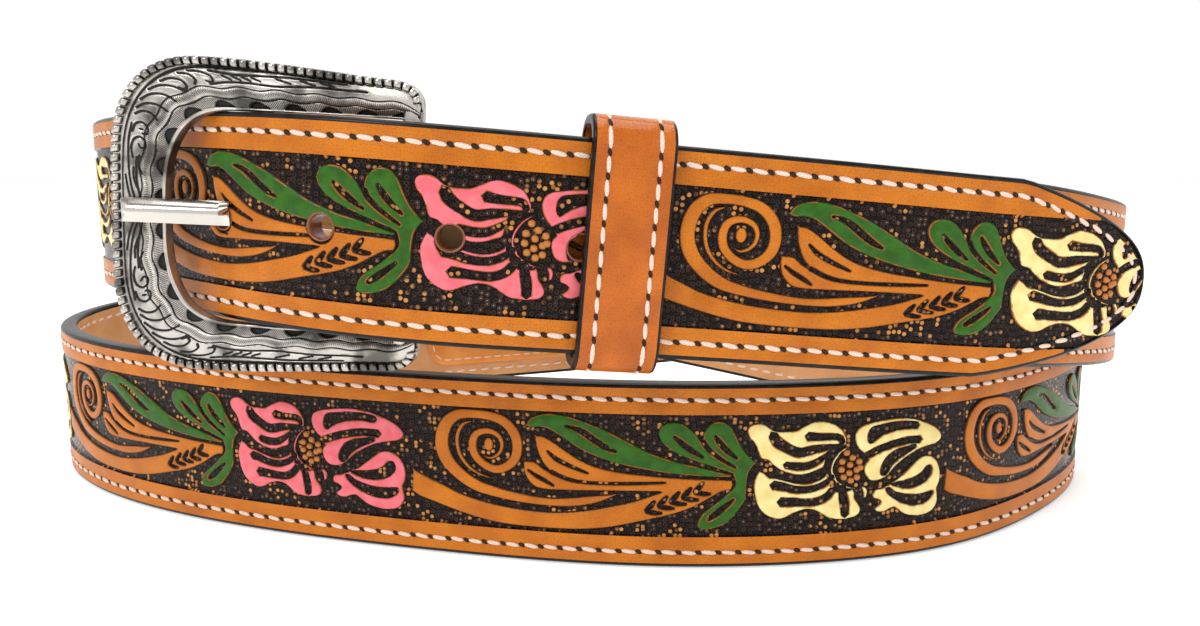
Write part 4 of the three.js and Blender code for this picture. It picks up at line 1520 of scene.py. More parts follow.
@dataclass
class Tooling:
    """The floral pattern raised on the strap's ground, one repeat after another."""

    coil: Coil
    body: StrapBody
    first_hole: float = 117.7
    hole_spacing: float = 22.3
    hole_count: int = 5
    hole_diameter: float = 4.8
    stop: float = 16.0
    parts: dict[Motif, Store] = field(default_factory=dict)

    def outlines(self, motif: Motif) -> tuple[list[Array], list[Array]]:
        """Give the outlines and the cuts of one finish in one repeat."""
        if motif is Motif.TAN:
            solids = [ribbon(SWIRL_ARM), ribbon(SWIRL_STRIP), disc(0.5, 24.3, 1.1, 1.5)]
            cuts = [ribbon(c) for c in STEM_CUTS]
            for across, up in CHEVRONS:
                for ticks in CHEVRON_CUTS:
                    cuts.append(ribbon([(across + x, up + y, wide) for x, y, wide in ticks]))
            return solids + [smooth(STEM, True, 0.5)], cuts
        if motif is Motif.GREEN:
            solids = [smooth(LONG_LEAF, True, 0.5), smooth(CALYX, True, 0.45)]
            return solids, [ribbon(LONG_LEAF_CUT)] + [ribbon(c) for c in CALYX_CUTS]
        solids = [smooth(p, True, 0.4) for p in PETALS] + [ribbon(FLOWER_RIM)]
        hollows = [smooth(h, True, 0.4) for h in PETAL_HOLLOWS]
        return solids, [ribbon(c) for c in PETAL_GROOVES] + hollows

    def hole_at(self, number: int) -> float:
        """Give one hole's distance from the tip."""
        return self.first_hole + number * self.hole_spacing

    def repeats(self, more: float) -> range:
        """Number the repeats that the strap has room for, and one to spare."""
        return range(int((float(pattern_of(self.coil.total)) + more) // REPEAT) + 2)

    def holes_in(self, start: float) -> list[Array]:
        """Give the strap's holes as outlines in the repeat that starts there."""
        found = []
        for i in range(self.hole_count):
            across = start - float(pattern_of(self.hole_at(i)))
            radius = self.hole_diameter / 2 + 0.15
            if -20 < across < 100:
                found.append(disc(across, MID, radius, radius))
        return found

    def clip_for(self, start: float) -> Array | None:
        """Give the allowed area of a repeat at the tip or at the fold."""
        end = float(pattern_of(self.coil.total - self.stop))
        if start - 100 < float(pattern_of(45.0)):
            line = self.coil.inset_line(1.0, 220.0)
            return np.column_stack([start - pattern_of(line[:, 0]), line[:, 1]])
        if start + 16 > end:
            low = start - end
            return np.array([(low, 0), (200, 0), (200, STRAP_WIDTH), (low, STRAP_WIDTH)])
        return None

    def lay(self, motif: Motif, start: float, shape: Shape) -> None:
        """Lay one repeat's relief on the strap."""
        points, faces = shape
        if not len(points):
            return
        ground = HALF - self.body.sink
        s = strap_of(start - points[:, 0])
        height = lowered(s, points[:, 1])
        placed = self.coil.place(s, ground + points[:, 2], height)
        store = self.parts.setdefault(motif, Store())
        store.faces += shifted(faces, sum(map(len, store.points)))
        store.points.append(placed)
        store.uv.append(np.column_stack([s, height]))
        store.rise.append(np.clip(points[:, 2] / RELIEF_HEIGHT, 0, 1))

    def build(self, finishes: dict[Motif, Material]) -> list[Piece]:
        """Raise every repeat and join each finish into one piece."""
        plain = {}
        for k in self.repeats(20):
            start = k * REPEAT
            flower = Motif.CREAM if k % 2 == 0 else Motif.PINK
            clip = self.clip_for(start)
            holes = self.holes_in(start)
            for motif in (Motif.TAN, Motif.GREEN, flower):
                kind = motif if motif in (Motif.TAN, Motif.GREEN) else Motif.PINK
                if clip is None and not holes and kind in plain:
                    shape = plain[kind]
                else:
                    solids, cuts = self.outlines(motif)
                    shape = Relief(solids, cuts + holes, clip).build()
                    if clip is None and not holes:
                        plain[kind] = shape
                self.lay(motif, start, shape)
        parts = self.parts.items()
        return [store.piece(f"tooling_{motif.value}", finishes[motif]) for motif, store in parts]

    def beads(self, material: Material) -> Piece:
        """Set the round beads in the flowers' middles."""
        bead = Prototype.pill((1.36, 1.36, 1.1), 10, 6)
        stamp = Stamp(self.coil, Face.OUTER, bead)
        for k in self.repeats(0):
            for across, up in FLOWER_BEADS:
                s = float(strap_of(k * REPEAT - across))
                if 2 < s < self.coil.total - self.stop:
                    stamp.add(s, float(lowered(s, up)), HALF - self.body.sink + 0.12, 0.0)
        return stamp.piece("flower_beads", material)


@dataclass
class Stitching:
    """Two rows of saddle stitches along the strap, on both faces, that meet round the tip."""

    coil: Coil
    inset: float = STITCH_INSET
    pitch: float = 4.0
    length: float = 3.0
    width: float = 0.95
    height: float = 0.72

    def places(self, end: float) -> list[tuple[float, float, float]]:
        """Space the stitches along the row: distance, height and direction."""
        line = self.coil.inset_line(self.inset, end)
        lengths = run_lengths(line)
        found = []
        for d in np.arange(self.pitch / 2, lengths[-1], self.pitch):
            s, height = read_line(line, lengths, d)
            run = heading(line, lengths, d, 1.2)
            found.append((float(s), float(height), math.atan2(run[1], run[0])))
        return found

    def build(self, thread: Material, hole_shade: Material) -> list[Piece]:
        """Sew both faces, and lay dark pricks on the outer face as painted shade in the stitch holes."""
        pill = Prototype.pill((self.length, self.width, self.height), 8, 8)
        dot = Prototype.pill((1.5, 0.95, 0.3), 8, 4)
        rows = random.Random(5)
        outer = Stamp(self.coil, Face.OUTER, pill)
        inner = Stamp(self.coil, Face.INNER, pill)
        # Dark pricks between the outer stitches: painted shade in the stitch holes.
        hole_shades = Stamp(self.coil, Face.OUTER, dot)
        for s, height, angle in self.places(self.coil.total - 9):
            turn = angle + math.radians(8) + rows.uniform(-0.05, 0.05)
            outer.add(s, height + rows.uniform(-0.06, 0.06), HALF - 0.1, turn, rows.uniform(0.94, 1.04))
            inner.add(s, height, HALF - 0.04, angle + math.radians(4), 0.9)
            half = self.pitch / 2
            ahead = (s + half * math.cos(angle), height + half * math.sin(angle))
            hole_shades.add(*ahead, HALF - 0.12, angle + 0.5)
        return [
            outer.piece("stitches_outer", thread),
            inner.piece("stitches_inner", thread),
            hole_shades.piece("stitch_hole_shades", hole_shade),
        ]


@dataclass
class Holes:
    """The row of holes through the free end, cut through both layers, with burnished rims."""

    coil: Coil
    tooling: Tooling

    def cutter(self) -> Piece:
        """Build the five punches as one object."""
        punches = []
        for i in range(self.tooling.hole_count):
            point, out, up, _ = self.coil.frame_at(self.tooling.hole_at(i))
            middle = (point + up * MID) * MM
            shape = {"vertices": 32, "radius": self.tooling.hole_diameter / 2 * MM, "depth": 9 * MM}
            bpy.ops.mesh.primitive_cylinder_add(**shape, location=middle)
            punch = bpy.context.active_object
            punch.rotation_mode = "QUATERNION"
            punch.rotation_quaternion = Vector(out).to_track_quat("Z", "Y")
            punches.append(punch)
        select(*punches)
        bpy.ops.object.join()
        bpy.ops.object.transform_apply(location=True, rotation=True, scale=True)
        return bpy.context.active_object

    def cut(self, pieces: list[Piece]) -> None:
        """Punch the pieces."""
        cutter = self.cutter()
        for piece in pieces:
            select(piece)
            modifier = piece.modifiers.new("punch", "BOOLEAN")
            modifier.operation = "DIFFERENCE"
            modifier.solver = "EXACT"
            modifier.object = cutter
            bpy.ops.object.modifier_apply(modifier=modifier.name)
        mesh = cutter.data
        bpy.data.objects.remove(cutter)
        bpy.data.meshes.remove(mesh)

    def rims(self, material: Material) -> Piece:
        """Lay a burnished funnel round each hole."""
        points, faces, uvs = [], [], []
        profile = ((2.62, -0.25), (2.56, 0.02), (2.36, 0.05), (2.2, -0.12), (2.12, -0.5), (2.1, -3.7))
        angles = circle(36)
        for i in range(self.tooling.hole_count):
            s = self.tooling.hole_at(i)
            faces += shifted(sweep(len(profile), len(angles)), i * len(profile) * len(angles))
            for radius, level in profile:
                flat = np.column_stack([s + radius * np.cos(angles), MID + radius * np.sin(angles)])
                outward = np.full(len(angles), HALF + level + 0.02)
                points.append(self.coil.place(flat[:, 0], outward, flat[:, 1]))
                uvs.append(flat)
        return make_piece("hole_rims", np.vstack(points), faces, [material], uv=np.vstack(uvs))


# Buckle


def bezier(points: list[tuple[float, float]], steps: int) -> Array:
    """Sample a cubic curve from its four points, without its last sample."""
    a, b, c, d = (np.array(p) for p in points)
    t = (np.arange(steps) / steps)[:, None]
    return (1 - t) ** 3 * a + 3 * (1 - t) ** 2 * t * b + 3 * (1 - t) * t * t * c + t**3 * d


# Engraved strokes on half of the frame: distances along the rim from its left middle and in from the rim
SCROLLS = [
    [(1, 6.3), (4, 5.5), (8, 4.9), (12, 4.8)],
    [(1.2, 5.3), (4, 4.3), (8, 3.5), (13, 3.1), (18, 2.9)],
    [(1.4, 4.4), (4, 3.4), (7.5, 2.7)],
    [(5.5, 5), (7.5, 4.35), (9.6, 4.3)],
    [(8.8, 5.9), (10.5, 5.1), (12.6, 5.3)],
    [
        (11.5, 4.1), (13.2, 3.7), (15.2, 3.9), (16.4, 4.9), (16, 5.9), (14.8, 6.1), (14.2, 5.4),
        (14.8, 4.9),
    ],
    [(16.6, 3.4), (18.4, 3.6), (19.4, 4.6), (19, 5.7), (17.8, 5.9), (17.3, 5.2)],
    [(17.9, 4.5), (18.1, 5)],
    [(20, 2.9), (21.4, 3.8), (22.2, 5.2), (21.8, 6.5)],
    [(21.2, 2.7), (23.2, 3.7), (24.6, 5.3), (25, 6.9)],
    [(23, 2.6), (25.4, 3.4), (27.4, 4.9), (28.2, 6.6)],
    [(25.6, 2.6), (27.9, 3.2), (30, 4.4), (31.2, 5.8)],
    [(28.6, 2.7), (30.6, 3), (32.2, 3.9), (32.5, 5), (31.6, 5.5), (30.9, 4.9)],
    [(32.6, 2.6), (34.4, 3.2), (35, 4.3), (34.2, 5)],
    [(34.6, 2.5), (37, 2.9), (38.6, 3.8), (38.2, 4.8), (37, 4.6)],
    [(37.5, 5.2), (41, 4.7), (46, 4.6), (51, 4.8), (55, 4.5), (60, 4.1), (65, 4), (70, 3.9)],
    [(38.8, 2.6), (43, 3.1), (48, 3), (54, 2.7), (60, 2.6), (66, 2.6)],
    [(41, 3.5), (42.4, 4.1)],
    [(43, 3.5), (44.4, 4.1)],
    [(45, 3.5), (46.4, 4.1)],
    [(47, 3.5), (48.4, 4)],
    [(52, 3.3), (54.6, 3.9)],
    [(57, 3.1), (59.6, 3.7)],
    [(61, 3), (63.4, 3.5)],
]


@dataclass
class BuckleFrame:
    """The cast frame: a rope rim, an engraved band, a hatched ribbon and a scalloped border."""

    coil: Coil
    length: float = 55.8
    left_half: float = 28.6
    heel_half: float = 26.2
    overhang: float = 2.2
    bar_width: float = 10.4
    window_half: float = 19.35
    thickness: float = 3.4
    corner: float = 12.7
    corner_height: float = 16.3
    crossing: float = 39.0
    rope_pitch: float = 1.78
    wave: float = 8.2
    ribbon_middle: float = 3.35
    scallop_edge: float = 0.62
    scallop_depth: float = 1.35
    sections: int = 460
    rows: int = 58

    def __post_init__(self) -> None:
        """Find the frame's place: hinged on the heel bar, leaning on the free end."""
        point, out, up, _ = self.coil.frame_at(self.coil.total)
        self.heel = point + out * (HALF - TOOLED_LAYER / 2 - BUCKLE_FOLD) + up * MID
        self.bar_up = up
        near, far = HEEL_PLACE, HEEL_PLACE + 2 * self.crossing
        for _ in range(40):
            tried = (near + far) / 2
            if np.linalg.norm(self.strap_front(tried) - self.heel) < self.crossing:
                near = tried
            else:
                far = tried
        self.u = unit(self.strap_front(near) - self.heel)
        self.v = unit(up - self.u * float(up @ self.u))
        self.w = np.cross(self.v, self.u)

    def strap_front(self, s: float) -> Array:
        """Give the point where the frame's middle would lie on the free end."""
        point, out, up, _ = self.coil.frame_at(s)
        return point + out * (HALF + AIR + self.thickness / 2) + up * MID

    def place(self, u: Array, v: Array, w: Array) -> Array:
        """Turn frame coordinates in millimetres into points in metres."""
        return (self.heel + np.outer(u, self.u) + np.outer(v, self.v) + np.outer(w, self.w)) * MM

    def outer_line(self) -> Array:
        """Run half of the outer outline, from the left middle to the heel end."""
        tall, low, heel = self.left_half, self.heel_half, -self.overhang
        shares = (1.0, 1.001, 1.001, 0.997, 0.98, 0.88, 0.7, 0.49, 0.28, 0.08, 0.01)
        across = [self.length * share for share in shares] + [heel, heel]
        up = [0.0, tall * 0.16, tall * 0.3, tall * 0.46, tall * 0.79, tall, tall, tall]
        up += [low * 1.03, low, low, low * 0.95, low * 0.84]
        corners = list(zip(across, up))
        curves = [corners[i : i + 4] for i in (0, 3, 6, 9)]
        return np.vstack([bezier(c, 60) for c in curves] + [[(heel, low * 0.84)]])

    def inner_line(self) -> Array:
        """Run half of the window's outline beside it."""
        left, half = self.length - self.bar_width, self.window_half
        start, end = (left, half - self.corner_height), (left - self.corner, half)
        third = lambda a, b: (a[0] + (b[0] - a[0]) * 2 / 3, a[1] + (b[1] - a[1]) * 2 / 3)
        curves = [
            [(left, 0.0), (left, start[1] / 3), (left, start[1] * 2 / 3), start],
            [start, third(start, (left, half)), third(end, (left, half)), end],
        ]
        straight = np.linspace(0, 1, 40)[:, None] * (np.array((-self.overhang, half)) - end) + end
        return np.vstack([bezier(c, 60) for c in curves] + [straight])

    def level(self, run: Array, inward: Array) -> tuple[Array, Array]:
        """Shape the front: its height, and how deep in shade each point lies.

        Args:
            run: distance along the rim from the left middle.
            inward: distance in from the rim, on a bar that is ten wide.

        Returns:
            The height above the frame's middle, and the shade from 0 to 1.
        """
        edge = 10 - inward
        mound = lambda off, half, top=1.0: np.clip(top - np.abs(off) / half, 0, 1)
        body = 1.15 + 0.75 * np.sin(np.clip((inward - 1.5) / 8.5, 0, 1) * math.pi) ** 0.8
        level = np.where(inward < 1.75, 0.8, body)
        shade = mound(inward - 1.9, 0.42)
        level -= 0.45 * shade
        wave = 0.42 * np.sin(run * 2 * math.pi / self.wave)
        ribbon = edge - self.ribbon_middle - wave * 0.6
        level += 0.22 * mound(ribbon, 0.62, 1.15) ** 0.5
        for side in (-0.95, 0.95):
            line = mound(ribbon - side, 0.2)
            level -= 0.2 * line
            shade = np.maximum(shade, line)
        phase = (run / self.wave - np.floor(run / self.wave) - 0.5) * self.wave
        bulge = np.clip(1 - (phase / 2.7) ** 2, 0, 1)
        foot, top = self.scallop_edge, self.scallop_edge + self.scallop_depth * bulge
        pocket = (edge > foot) & (edge < top)
        depth = np.clip(np.minimum(edge - foot, top - edge) / 0.25, 0, 1) * pocket
        level -= 0.75 * depth
        shade = np.maximum(shade, depth)
        level += 0.22 * mound(edge - 0.28, 0.34) ** 0.5
        far = self.stroke_distance(np.column_stack([run, inward]))
        cut = mound(far, 0.3)
        level -= 0.26 * cut
        level += 0.07 * mound(far - 0.42, 0.2)
        shade = np.maximum(shade, cut**0.7)
        hatch = mound(ribbon, 0.6, 1.2) + ((edge > 0.7) & (edge < 2.4)) * (1 - depth)
        self.hatched = np.clip(hatch, 0, 1)
        return level, shade

    @staticmethod
    def stroke_distance(grid: Array) -> Array:
        """Measure from points on the band to the nearest engraved stroke."""
        far = np.full(len(grid), 9.0)
        for line in (smooth(s, False, 0.5) for s in SCROLLS):
            low, high = line.min(axis=0) - 0.6, line.max(axis=0) + 0.6
            near = np.nonzero(((grid > low) & (grid < high)).all(axis=1))[0]
            if len(near):
                far[near] = np.minimum(far[near], open_distance(grid[near], line))
        return far

    def build(self, silver: Material) -> Piece:
        """Build the frame's casting with its heel bar."""
        share = np.arange(self.sections + 1) / self.sections
        slower = np.interp(share, [0.0, 0.36, 1.0], [0.0, 0.33, 1.0])
        full_outer = self.mirrored(along_line(self.outer_line(), share))
        full_inner = self.mirrored(along_line(self.inner_line(), slower))
        count = len(full_outer)
        rim = run_lengths(full_outer)
        run = np.abs(rim - rim[count // 2])
        across = np.linspace(0, 1, self.rows)
        mixed = lambda share: full_outer[:, None] * (1 - share) + full_inner[:, None] * share
        inward = np.broadcast_to(across * 10, (count, self.rows))
        level, shade = self.level(np.repeat(run, self.rows), inward.ravel())
        back = -self.thickness / 2
        walls = [(1.0, back + 0.5, 0.3), (0.97, back, 0.0), (0.03, back, 0.0), (0.0, back + 0.5, 0.3)]
        columns = [mixed(across[None, :, None])]
        values = [np.stack([v.reshape(count, self.rows) for v in (level, shade, self.hatched)])]
        for place, height, dark in walls:
            columns.append(mixed(place))
            values.append(np.broadcast_to(np.reshape((height, dark, 0.0), (3, 1, 1)), (3, count, 1)))
        flat = np.concatenate(columns, axis=1)
        size = flat.shape[1]
        heights, shades, hatches = np.concatenate(values, axis=2).reshape(3, -1)
        points = self.place(flat[..., 0].ravel(), flat[..., 1].ravel(), heights)
        faces = sweep(count, size) + lids(count, size)
        bar, bar_faces = self.bar()
        faces += shifted(bar_faces, len(points))
        points = np.vstack([points, bar])
        uv = np.column_stack([np.repeat(rim, size), np.tile(np.arange(size) / size * 10, count)])
        uv = np.vstack([uv, np.zeros((len(bar), 2))])
        shades, hatches = (np.concatenate([v, np.zeros(len(bar))]) for v in (shades, hatches))
        look = {"uv": uv, "rise": shades, "merge": False, "angle": 60}
        piece = make_piece("buckle_casting", points, faces, [silver], **look)
        add_values(piece.data, "hatch", hatches)
        face_out(piece)
        return piece

    @staticmethod
    def mirrored(half: Array) -> Array:
        """Join the lower half of an outline, mirrored, to the upper half."""
        return np.vstack([half[::-1] * (1, -1), half[1:]])

    def bar(self) -> Shape:
        """Model the heel bar as a rounded rod from a cylinder primitive."""
        rod = Prototype.rod(2.0, 2 * self.window_half + 3.0, 24)
        side = unit(np.cross(self.bar_up, self.w))
        third = np.cross(side, self.bar_up)
        turned = np.outer(rod.points[:, 0], side) + np.outer(rod.points[:, 1], third)
        return (self.heel + turned + np.outer(rod.points[:, 2], self.bar_up)) * MM, rod.faces

    def rope(self, silver: Material) -> Piece:
        """Set the milled blocks of the rim side by side."""
        line = self.mirrored(self.outer_line())
        lengths = run_lengths(line)
        block = Prototype.pill((2.0, 2.0, 2.0), 12, 10)
        shape = np.sign(block.points) * np.abs(block.points) ** 0.5
        count = int(lengths[-1] / self.rope_pitch)
        points, faces = [], []
        for i in range(count):
            at = (i + 0.5) / count * lengths[-1]
            here = read_line(line, lengths, at)
            run = unit(heading(line, lengths, at, 0.8))
            inward = np.array([-run[1], run[0]])
            if inward @ (np.array([25.0, 0.0]) - here) < 0:
                inward = -inward
            lengthwise = np.outer(shape[:, 0] * 0.74 + shape[:, 1] * 0.14, run)
            flat = here + lengthwise + np.outer(0.72 + shape[:, 1] * 0.8, inward)
            points.append(self.place(flat[:, 0], flat[:, 1], 0.45 + shape[:, 2] * 1.6))
            faces += shifted(block.faces, i * len(shape))
        shades = np.tile(np.clip((np.abs(shape[:, 0]) - 0.75) * 4, 0, 1), count)
        look = {"uv": np.zeros((len(shape) * count, 2)), "rise": shades, "merge": False, "angle": 70}
        piece = make_piece("buckle_rope", np.vstack(points), faces, [silver], **look)
        face_out(piece)
        return piece


@dataclass
class Prong:
    """The polished bar over the free end: rounded above, one flat facet below, bevelled at both ends."""

    frame: BuckleFrame
    hole: float = 184.6
    width: float = 4.5
    height: float = 3.1
    bevel: float = 1.5
    loop_middle: float = 3.3

    def profile(self) -> Array:
        """Outline the bar's section: across, and out."""
        half = self.width / 2
        arc = np.linspace(-0.12, 1, 12)
        top = np.column_stack([arc * half, self.height * (1 - np.abs(np.maximum(arc, 0)) ** 2 * 0.6)])
        wall = [(-half, 0), (-half, self.height * 0.4), (-half * 0.97, self.height * 0.48)]
        return np.vstack([wall, top, [(half, 0)]])

    def build(self, silver: Material) -> Piece:
        """Build the bar with its shank through the hole and its loop on the heel bar."""
        frame = self.frame
        point, out, up, _ = frame.coil.frame_at(self.hole)
        foot = point + out * (HALF + 0.42) + up * MID
        lift = up * 0.7
        rest = frame.heel + frame.u * (frame.length - 3.4) + frame.w * 2.9 + lift
        along = unit(rest - foot - lift)
        side = unit(np.cross(along, up))
        side = side if side @ out > 0 else -side
        start = foot - along * 2.1 + lift
        length = float(np.linalg.norm(rest - start))
        section = self.profile()
        ends = [(0.0, 0.5), (0.2, 0.58), (self.bevel, 1.0), (self.bevel + 0.3, 1.0)]
        cuts = ends + [(length * share, 1.0) for share in (0.25, 0.4, 0.55, 0.7, 0.85)]
        cuts += [(length - place, rise) for place, rise in ends[::-1]]
        points = []
        for place, rise in cuts:
            levels = np.minimum(section[:, 1], self.height * rise)
            points.append(start + along * place + np.outer(section[:, 0], up) + np.outer(levels, side))
        faces = sweep(len(cuts), len(section)) + lids(len(cuts), len(section))
        inner = point - out * (HALF + 1.3) + up * MID
        reach = unit(inner - frame.heel)
        middle = frame.heel + reach * self.loop_middle
        shank = [self.rod(foot + side * 0.6, inner, up), self.rod(inner, middle, up)]
        for more, more_faces in shank + [self.loop(frame.bar_up, reach)]:
            faces += shifted(more_faces, sum(map(len, points)))
            points.append(more)
        piece = make_piece("prong_bar", np.vstack(points) * MM, faces, [silver], merge=False, angle=28)
        face_out(piece)
        return piece

    def rod(self, one: Array, two: Array, up: Array) -> Shape:
        """Run a flat rounded rod between two points."""
        shape = Prototype.rod(1.0, 1.0, 20)
        length = float(np.linalg.norm(two - one))
        run = (two - one) / length
        side = unit(np.cross(run, up))
        p = shape.points
        flat = np.outer(p[:, 0], side) + np.outer(p[:, 1] * 1.6, np.cross(side, run))
        return (one + two) / 2 + flat + np.outer(p[:, 2] * (length + 1), run), shape.faces

    def loop(self, axis: Array, reach: Array) -> Shape:
        """Turn the ring that hangs on the heel bar."""
        third = unit(np.cross(axis, reach))
        across = np.cross(third, axis)
        wall = [(2.3, -2.3), (2.5, -2.5), (3.9, -2.5), (4.2, -2.2)]
        profile = wall + [(radius, -rise) for radius, rise in wall[::-1]]
        angles = circle(28)
        points = []
        for radius, rise in profile:
            ring = radius * (np.outer(np.cos(angles), across) + np.outer(np.sin(angles), third))
            points.append(self.frame.heel + ring + axis * rise)
        return np.vstack(points), sweep(len(profile), len(angles), closed=True)


# Keeper and patch


@dataclass
class Keeper:
    """The stitched leather loop that holds the free end down."""

    coil: Coil
    at: float = 110.0
    width: float = 15.0
    wall: float = 2.0
    height: float = 45.6
    raised: float = 0.5
    seam: float = 3.0
    half_inside: float = 5.1
    offset: float = -2.35
    corner: float = 3.6
    rounding: float = 0.6
    groove_depth: float = 0.16
    pitch: float = 3.95

    def __post_init__(self) -> None:
        """Lay the loop's middle line out round both straps."""
        self.point, self.out, self.up, self.along = self.coil.frame_at(self.at)
        half, tall, corner = self.half_inside, self.height / 2 - self.wall, self.corner
        corners = [(-half, -tall), (half, -tall), (half, tall), (-half, tall)]
        line = [np.array([(-half, 0.0)])]
        for i, (x, y) in enumerate(corners):
            middle = np.array((x - math.copysign(corner, x), y - math.copysign(corner, y)))
            angles = np.radians(180 + 90 * i + np.linspace(0, 90, 12))
            line.append(middle + corner * np.column_stack([np.cos(angles), np.sin(angles)]))
        line.append(np.array([(-half, 0.0)]))
        rough = np.vstack(line)
        total = np.linalg.norm(np.diff(rough, axis=0), axis=1).sum()
        self.line = along_line(rough, np.linspace(0, 1, int(total / 0.8)))
        self.lengths = np.linspace(0, total, len(self.line))
        run = unit(np.roll(self.line[:-1], -1, axis=0) - np.roll(self.line[:-1], 1, axis=0))
        normal = np.column_stack([run[:, 1], -run[:, 0]])
        self.normal = np.vstack([normal, normal[:1]])

    def place(self, a: Array, level: Array, across: Array) -> Array:
        """Turn distances round the loop, out from its inside and across it into points in metres."""
        a = np.mod(np.atleast_1d(a), self.lengths[-1])
        read = lambda rows: read_line(rows, self.lengths, a)
        flat = read(self.line) + read(self.normal) * np.reshape(level, (-1, 1))
        base = self.point + self.out * self.offset + self.up * (MID + self.raised)
        stands = base + np.outer(flat[:, 0], self.out) + np.outer(flat[:, 1], self.up)
        return (stands + np.outer(across, self.along)) * MM

    def build(self, finishes: list[Material]) -> Piece:
        """Build the loop's leather."""
        half, wall = self.width / 2, self.wall
        top = []
        for x in (0.0, 0.12, 0.35, 0.65, 2.3, 2.7, 3.0, 3.3, 3.7, 5.4):
            left = max(self.rounding - x, 0)
            rounding = self.rounding - math.sqrt(max(self.rounding**2 - left**2, 0))
            groove = self.groove_depth * max(0.0, 1 - abs(x - self.seam) / 0.6)
            top.append((x, wall - rounding - groove))
        profile = [(x - half, level) for x, level in top] + [(half - x, level) for x, level in top[::-1]]
        profile += [(half, 0.35), (half - 0.3, 0.0), (-half + 0.3, 0.0), (-half, 0.35)]
        count = len(self.line) - 1
        ring = np.array(profile)
        points, uvs = [], []
        for a in self.lengths[:-1]:
            points.append(self.place(np.full(len(ring), a), ring[:, 1], ring[:, 0]))
            uvs.append(np.column_stack([np.full(len(ring), a), ring[:, 0]]))
        size = len(ring)
        ends = [(ring[f[0] % size], ring[f[3] % size]) for f in sweep(2, size)]
        zones = [int(max(abs(p[0]), abs(q[0])) > half - 0.4 and p[1] > 0.3) for p, q in ends] * count
        look = {"uv": np.vstack(uvs), "zones": zones, "angle": 60}
        faces = sweep(count, size, closed=True)
        piece = make_piece("keeper_leather", np.vstack(points), faces, finishes, **look)
        face_out(piece)
        return piece

    def stitches(self, thread: Material, hole_shade: Material) -> list[Piece]:
        """Sew a row along each edge, with dark pricks between the stitches as painted shade in their
        holes.
        """
        stamp = Stamp(self, Face.OUTER, Prototype.pill((2.9, 0.85, 0.6), 8, 8))
        # Dark pricks between the stitches: painted shade in the stitch holes.
        hole_shades = Stamp(self, Face.OUTER, Prototype.pill((1.35, 0.8, 0.3), 8, 4))
        count = int(self.lengths[-1] / self.pitch)
        spacing = self.lengths[-1] / count
        for i in range(count):
            for row in (-1, 1):
                place = (i + 0.5) * self.lengths[-1] / count
                across = row * (self.width / 2 - self.seam)
                stamp.add(place, across, self.wall - 0.04, 0.06)
                hole_shades.add(place + spacing / 2, across, self.wall - 0.06, 0.3)
        return [stamp.piece("keeper_stitches", thread), hole_shades.piece("keeper_stitch_hole_shades", hole_shade)]


@dataclass
class Patch:
    """The bare leather patch on the inside of the outer back strand."""

    coil: Coil
    share: float = 0.709
    length: float = 62.0
    height: float = 26.0
    lift: float = 5.5
    thickness: float = 1.3
    corner: float = 6.0
    air: float = 0.12
    seam: float = 2.0
    pitch: float = 3.2

    def outline(self, inset: float) -> Array:
        """Outline the patch, set in by a distance."""
        corner = self.corner - inset
        loop = []
        for i, (x, y) in enumerate(((1, 1), (0, 1), (0, 0), (1, 0))):
            room = np.array((self.length, self.height)) - 2 * inset - 2 * corner
            middle = inset + corner + np.array((x, y)) * room
            angles = np.radians(90 * i + np.linspace(0, 90, 12))
            loop.append(middle + corner * np.column_stack([np.cos(angles), np.sin(angles)]))
        return along_line(np.vstack(loop + [loop[0][:1]]), np.linspace(0, 1, 200))[:-1]

    def build(self, leather: Material, thread: Material) -> list[Piece]:
        """Build the patch and sew it on."""
        cut = {"height": self.thickness, "root": 0.0, "slope": 0.1, "shoulder": 0.6, "grid": 2.5}
        points, faces = Relief([self.outline(0.0)], **cut).build()
        begin = self.share * self.coil.total
        s = begin + points[:, 0]
        level = -(HALF + self.air + points[:, 2])
        placed = self.coil.place(s, level, self.lift + points[:, 1])
        uv = np.column_stack([s, points[:, 1]])
        turned = [f[::-1] for f in faces]
        patch = make_piece("patch_leather", placed, turned, [leather], uv=uv, angle=60)
        stamp = Stamp(self.coil, Face.INNER, Prototype.pill((2.5, 0.6, 0.5), 8, 6))
        line = self.outline(self.seam)
        loop = np.vstack([line, line[:1]])
        lengths = run_lengths(loop)
        count = int(lengths[-1] / self.pitch)
        for i in range(count):
            at = (i + 0.5) / count * lengths[-1]
            x, y = (float(v) for v in read_line(loop, lengths, at))
            run = heading(loop, lengths, at, 1)
            angle = math.atan2(run[1], run[0])
            stamp.add(begin + x, self.lift + y, HALF + self.air + self.thickness, angle)
        return [patch, stamp.piece("patch_stitches", thread)]


# Stage


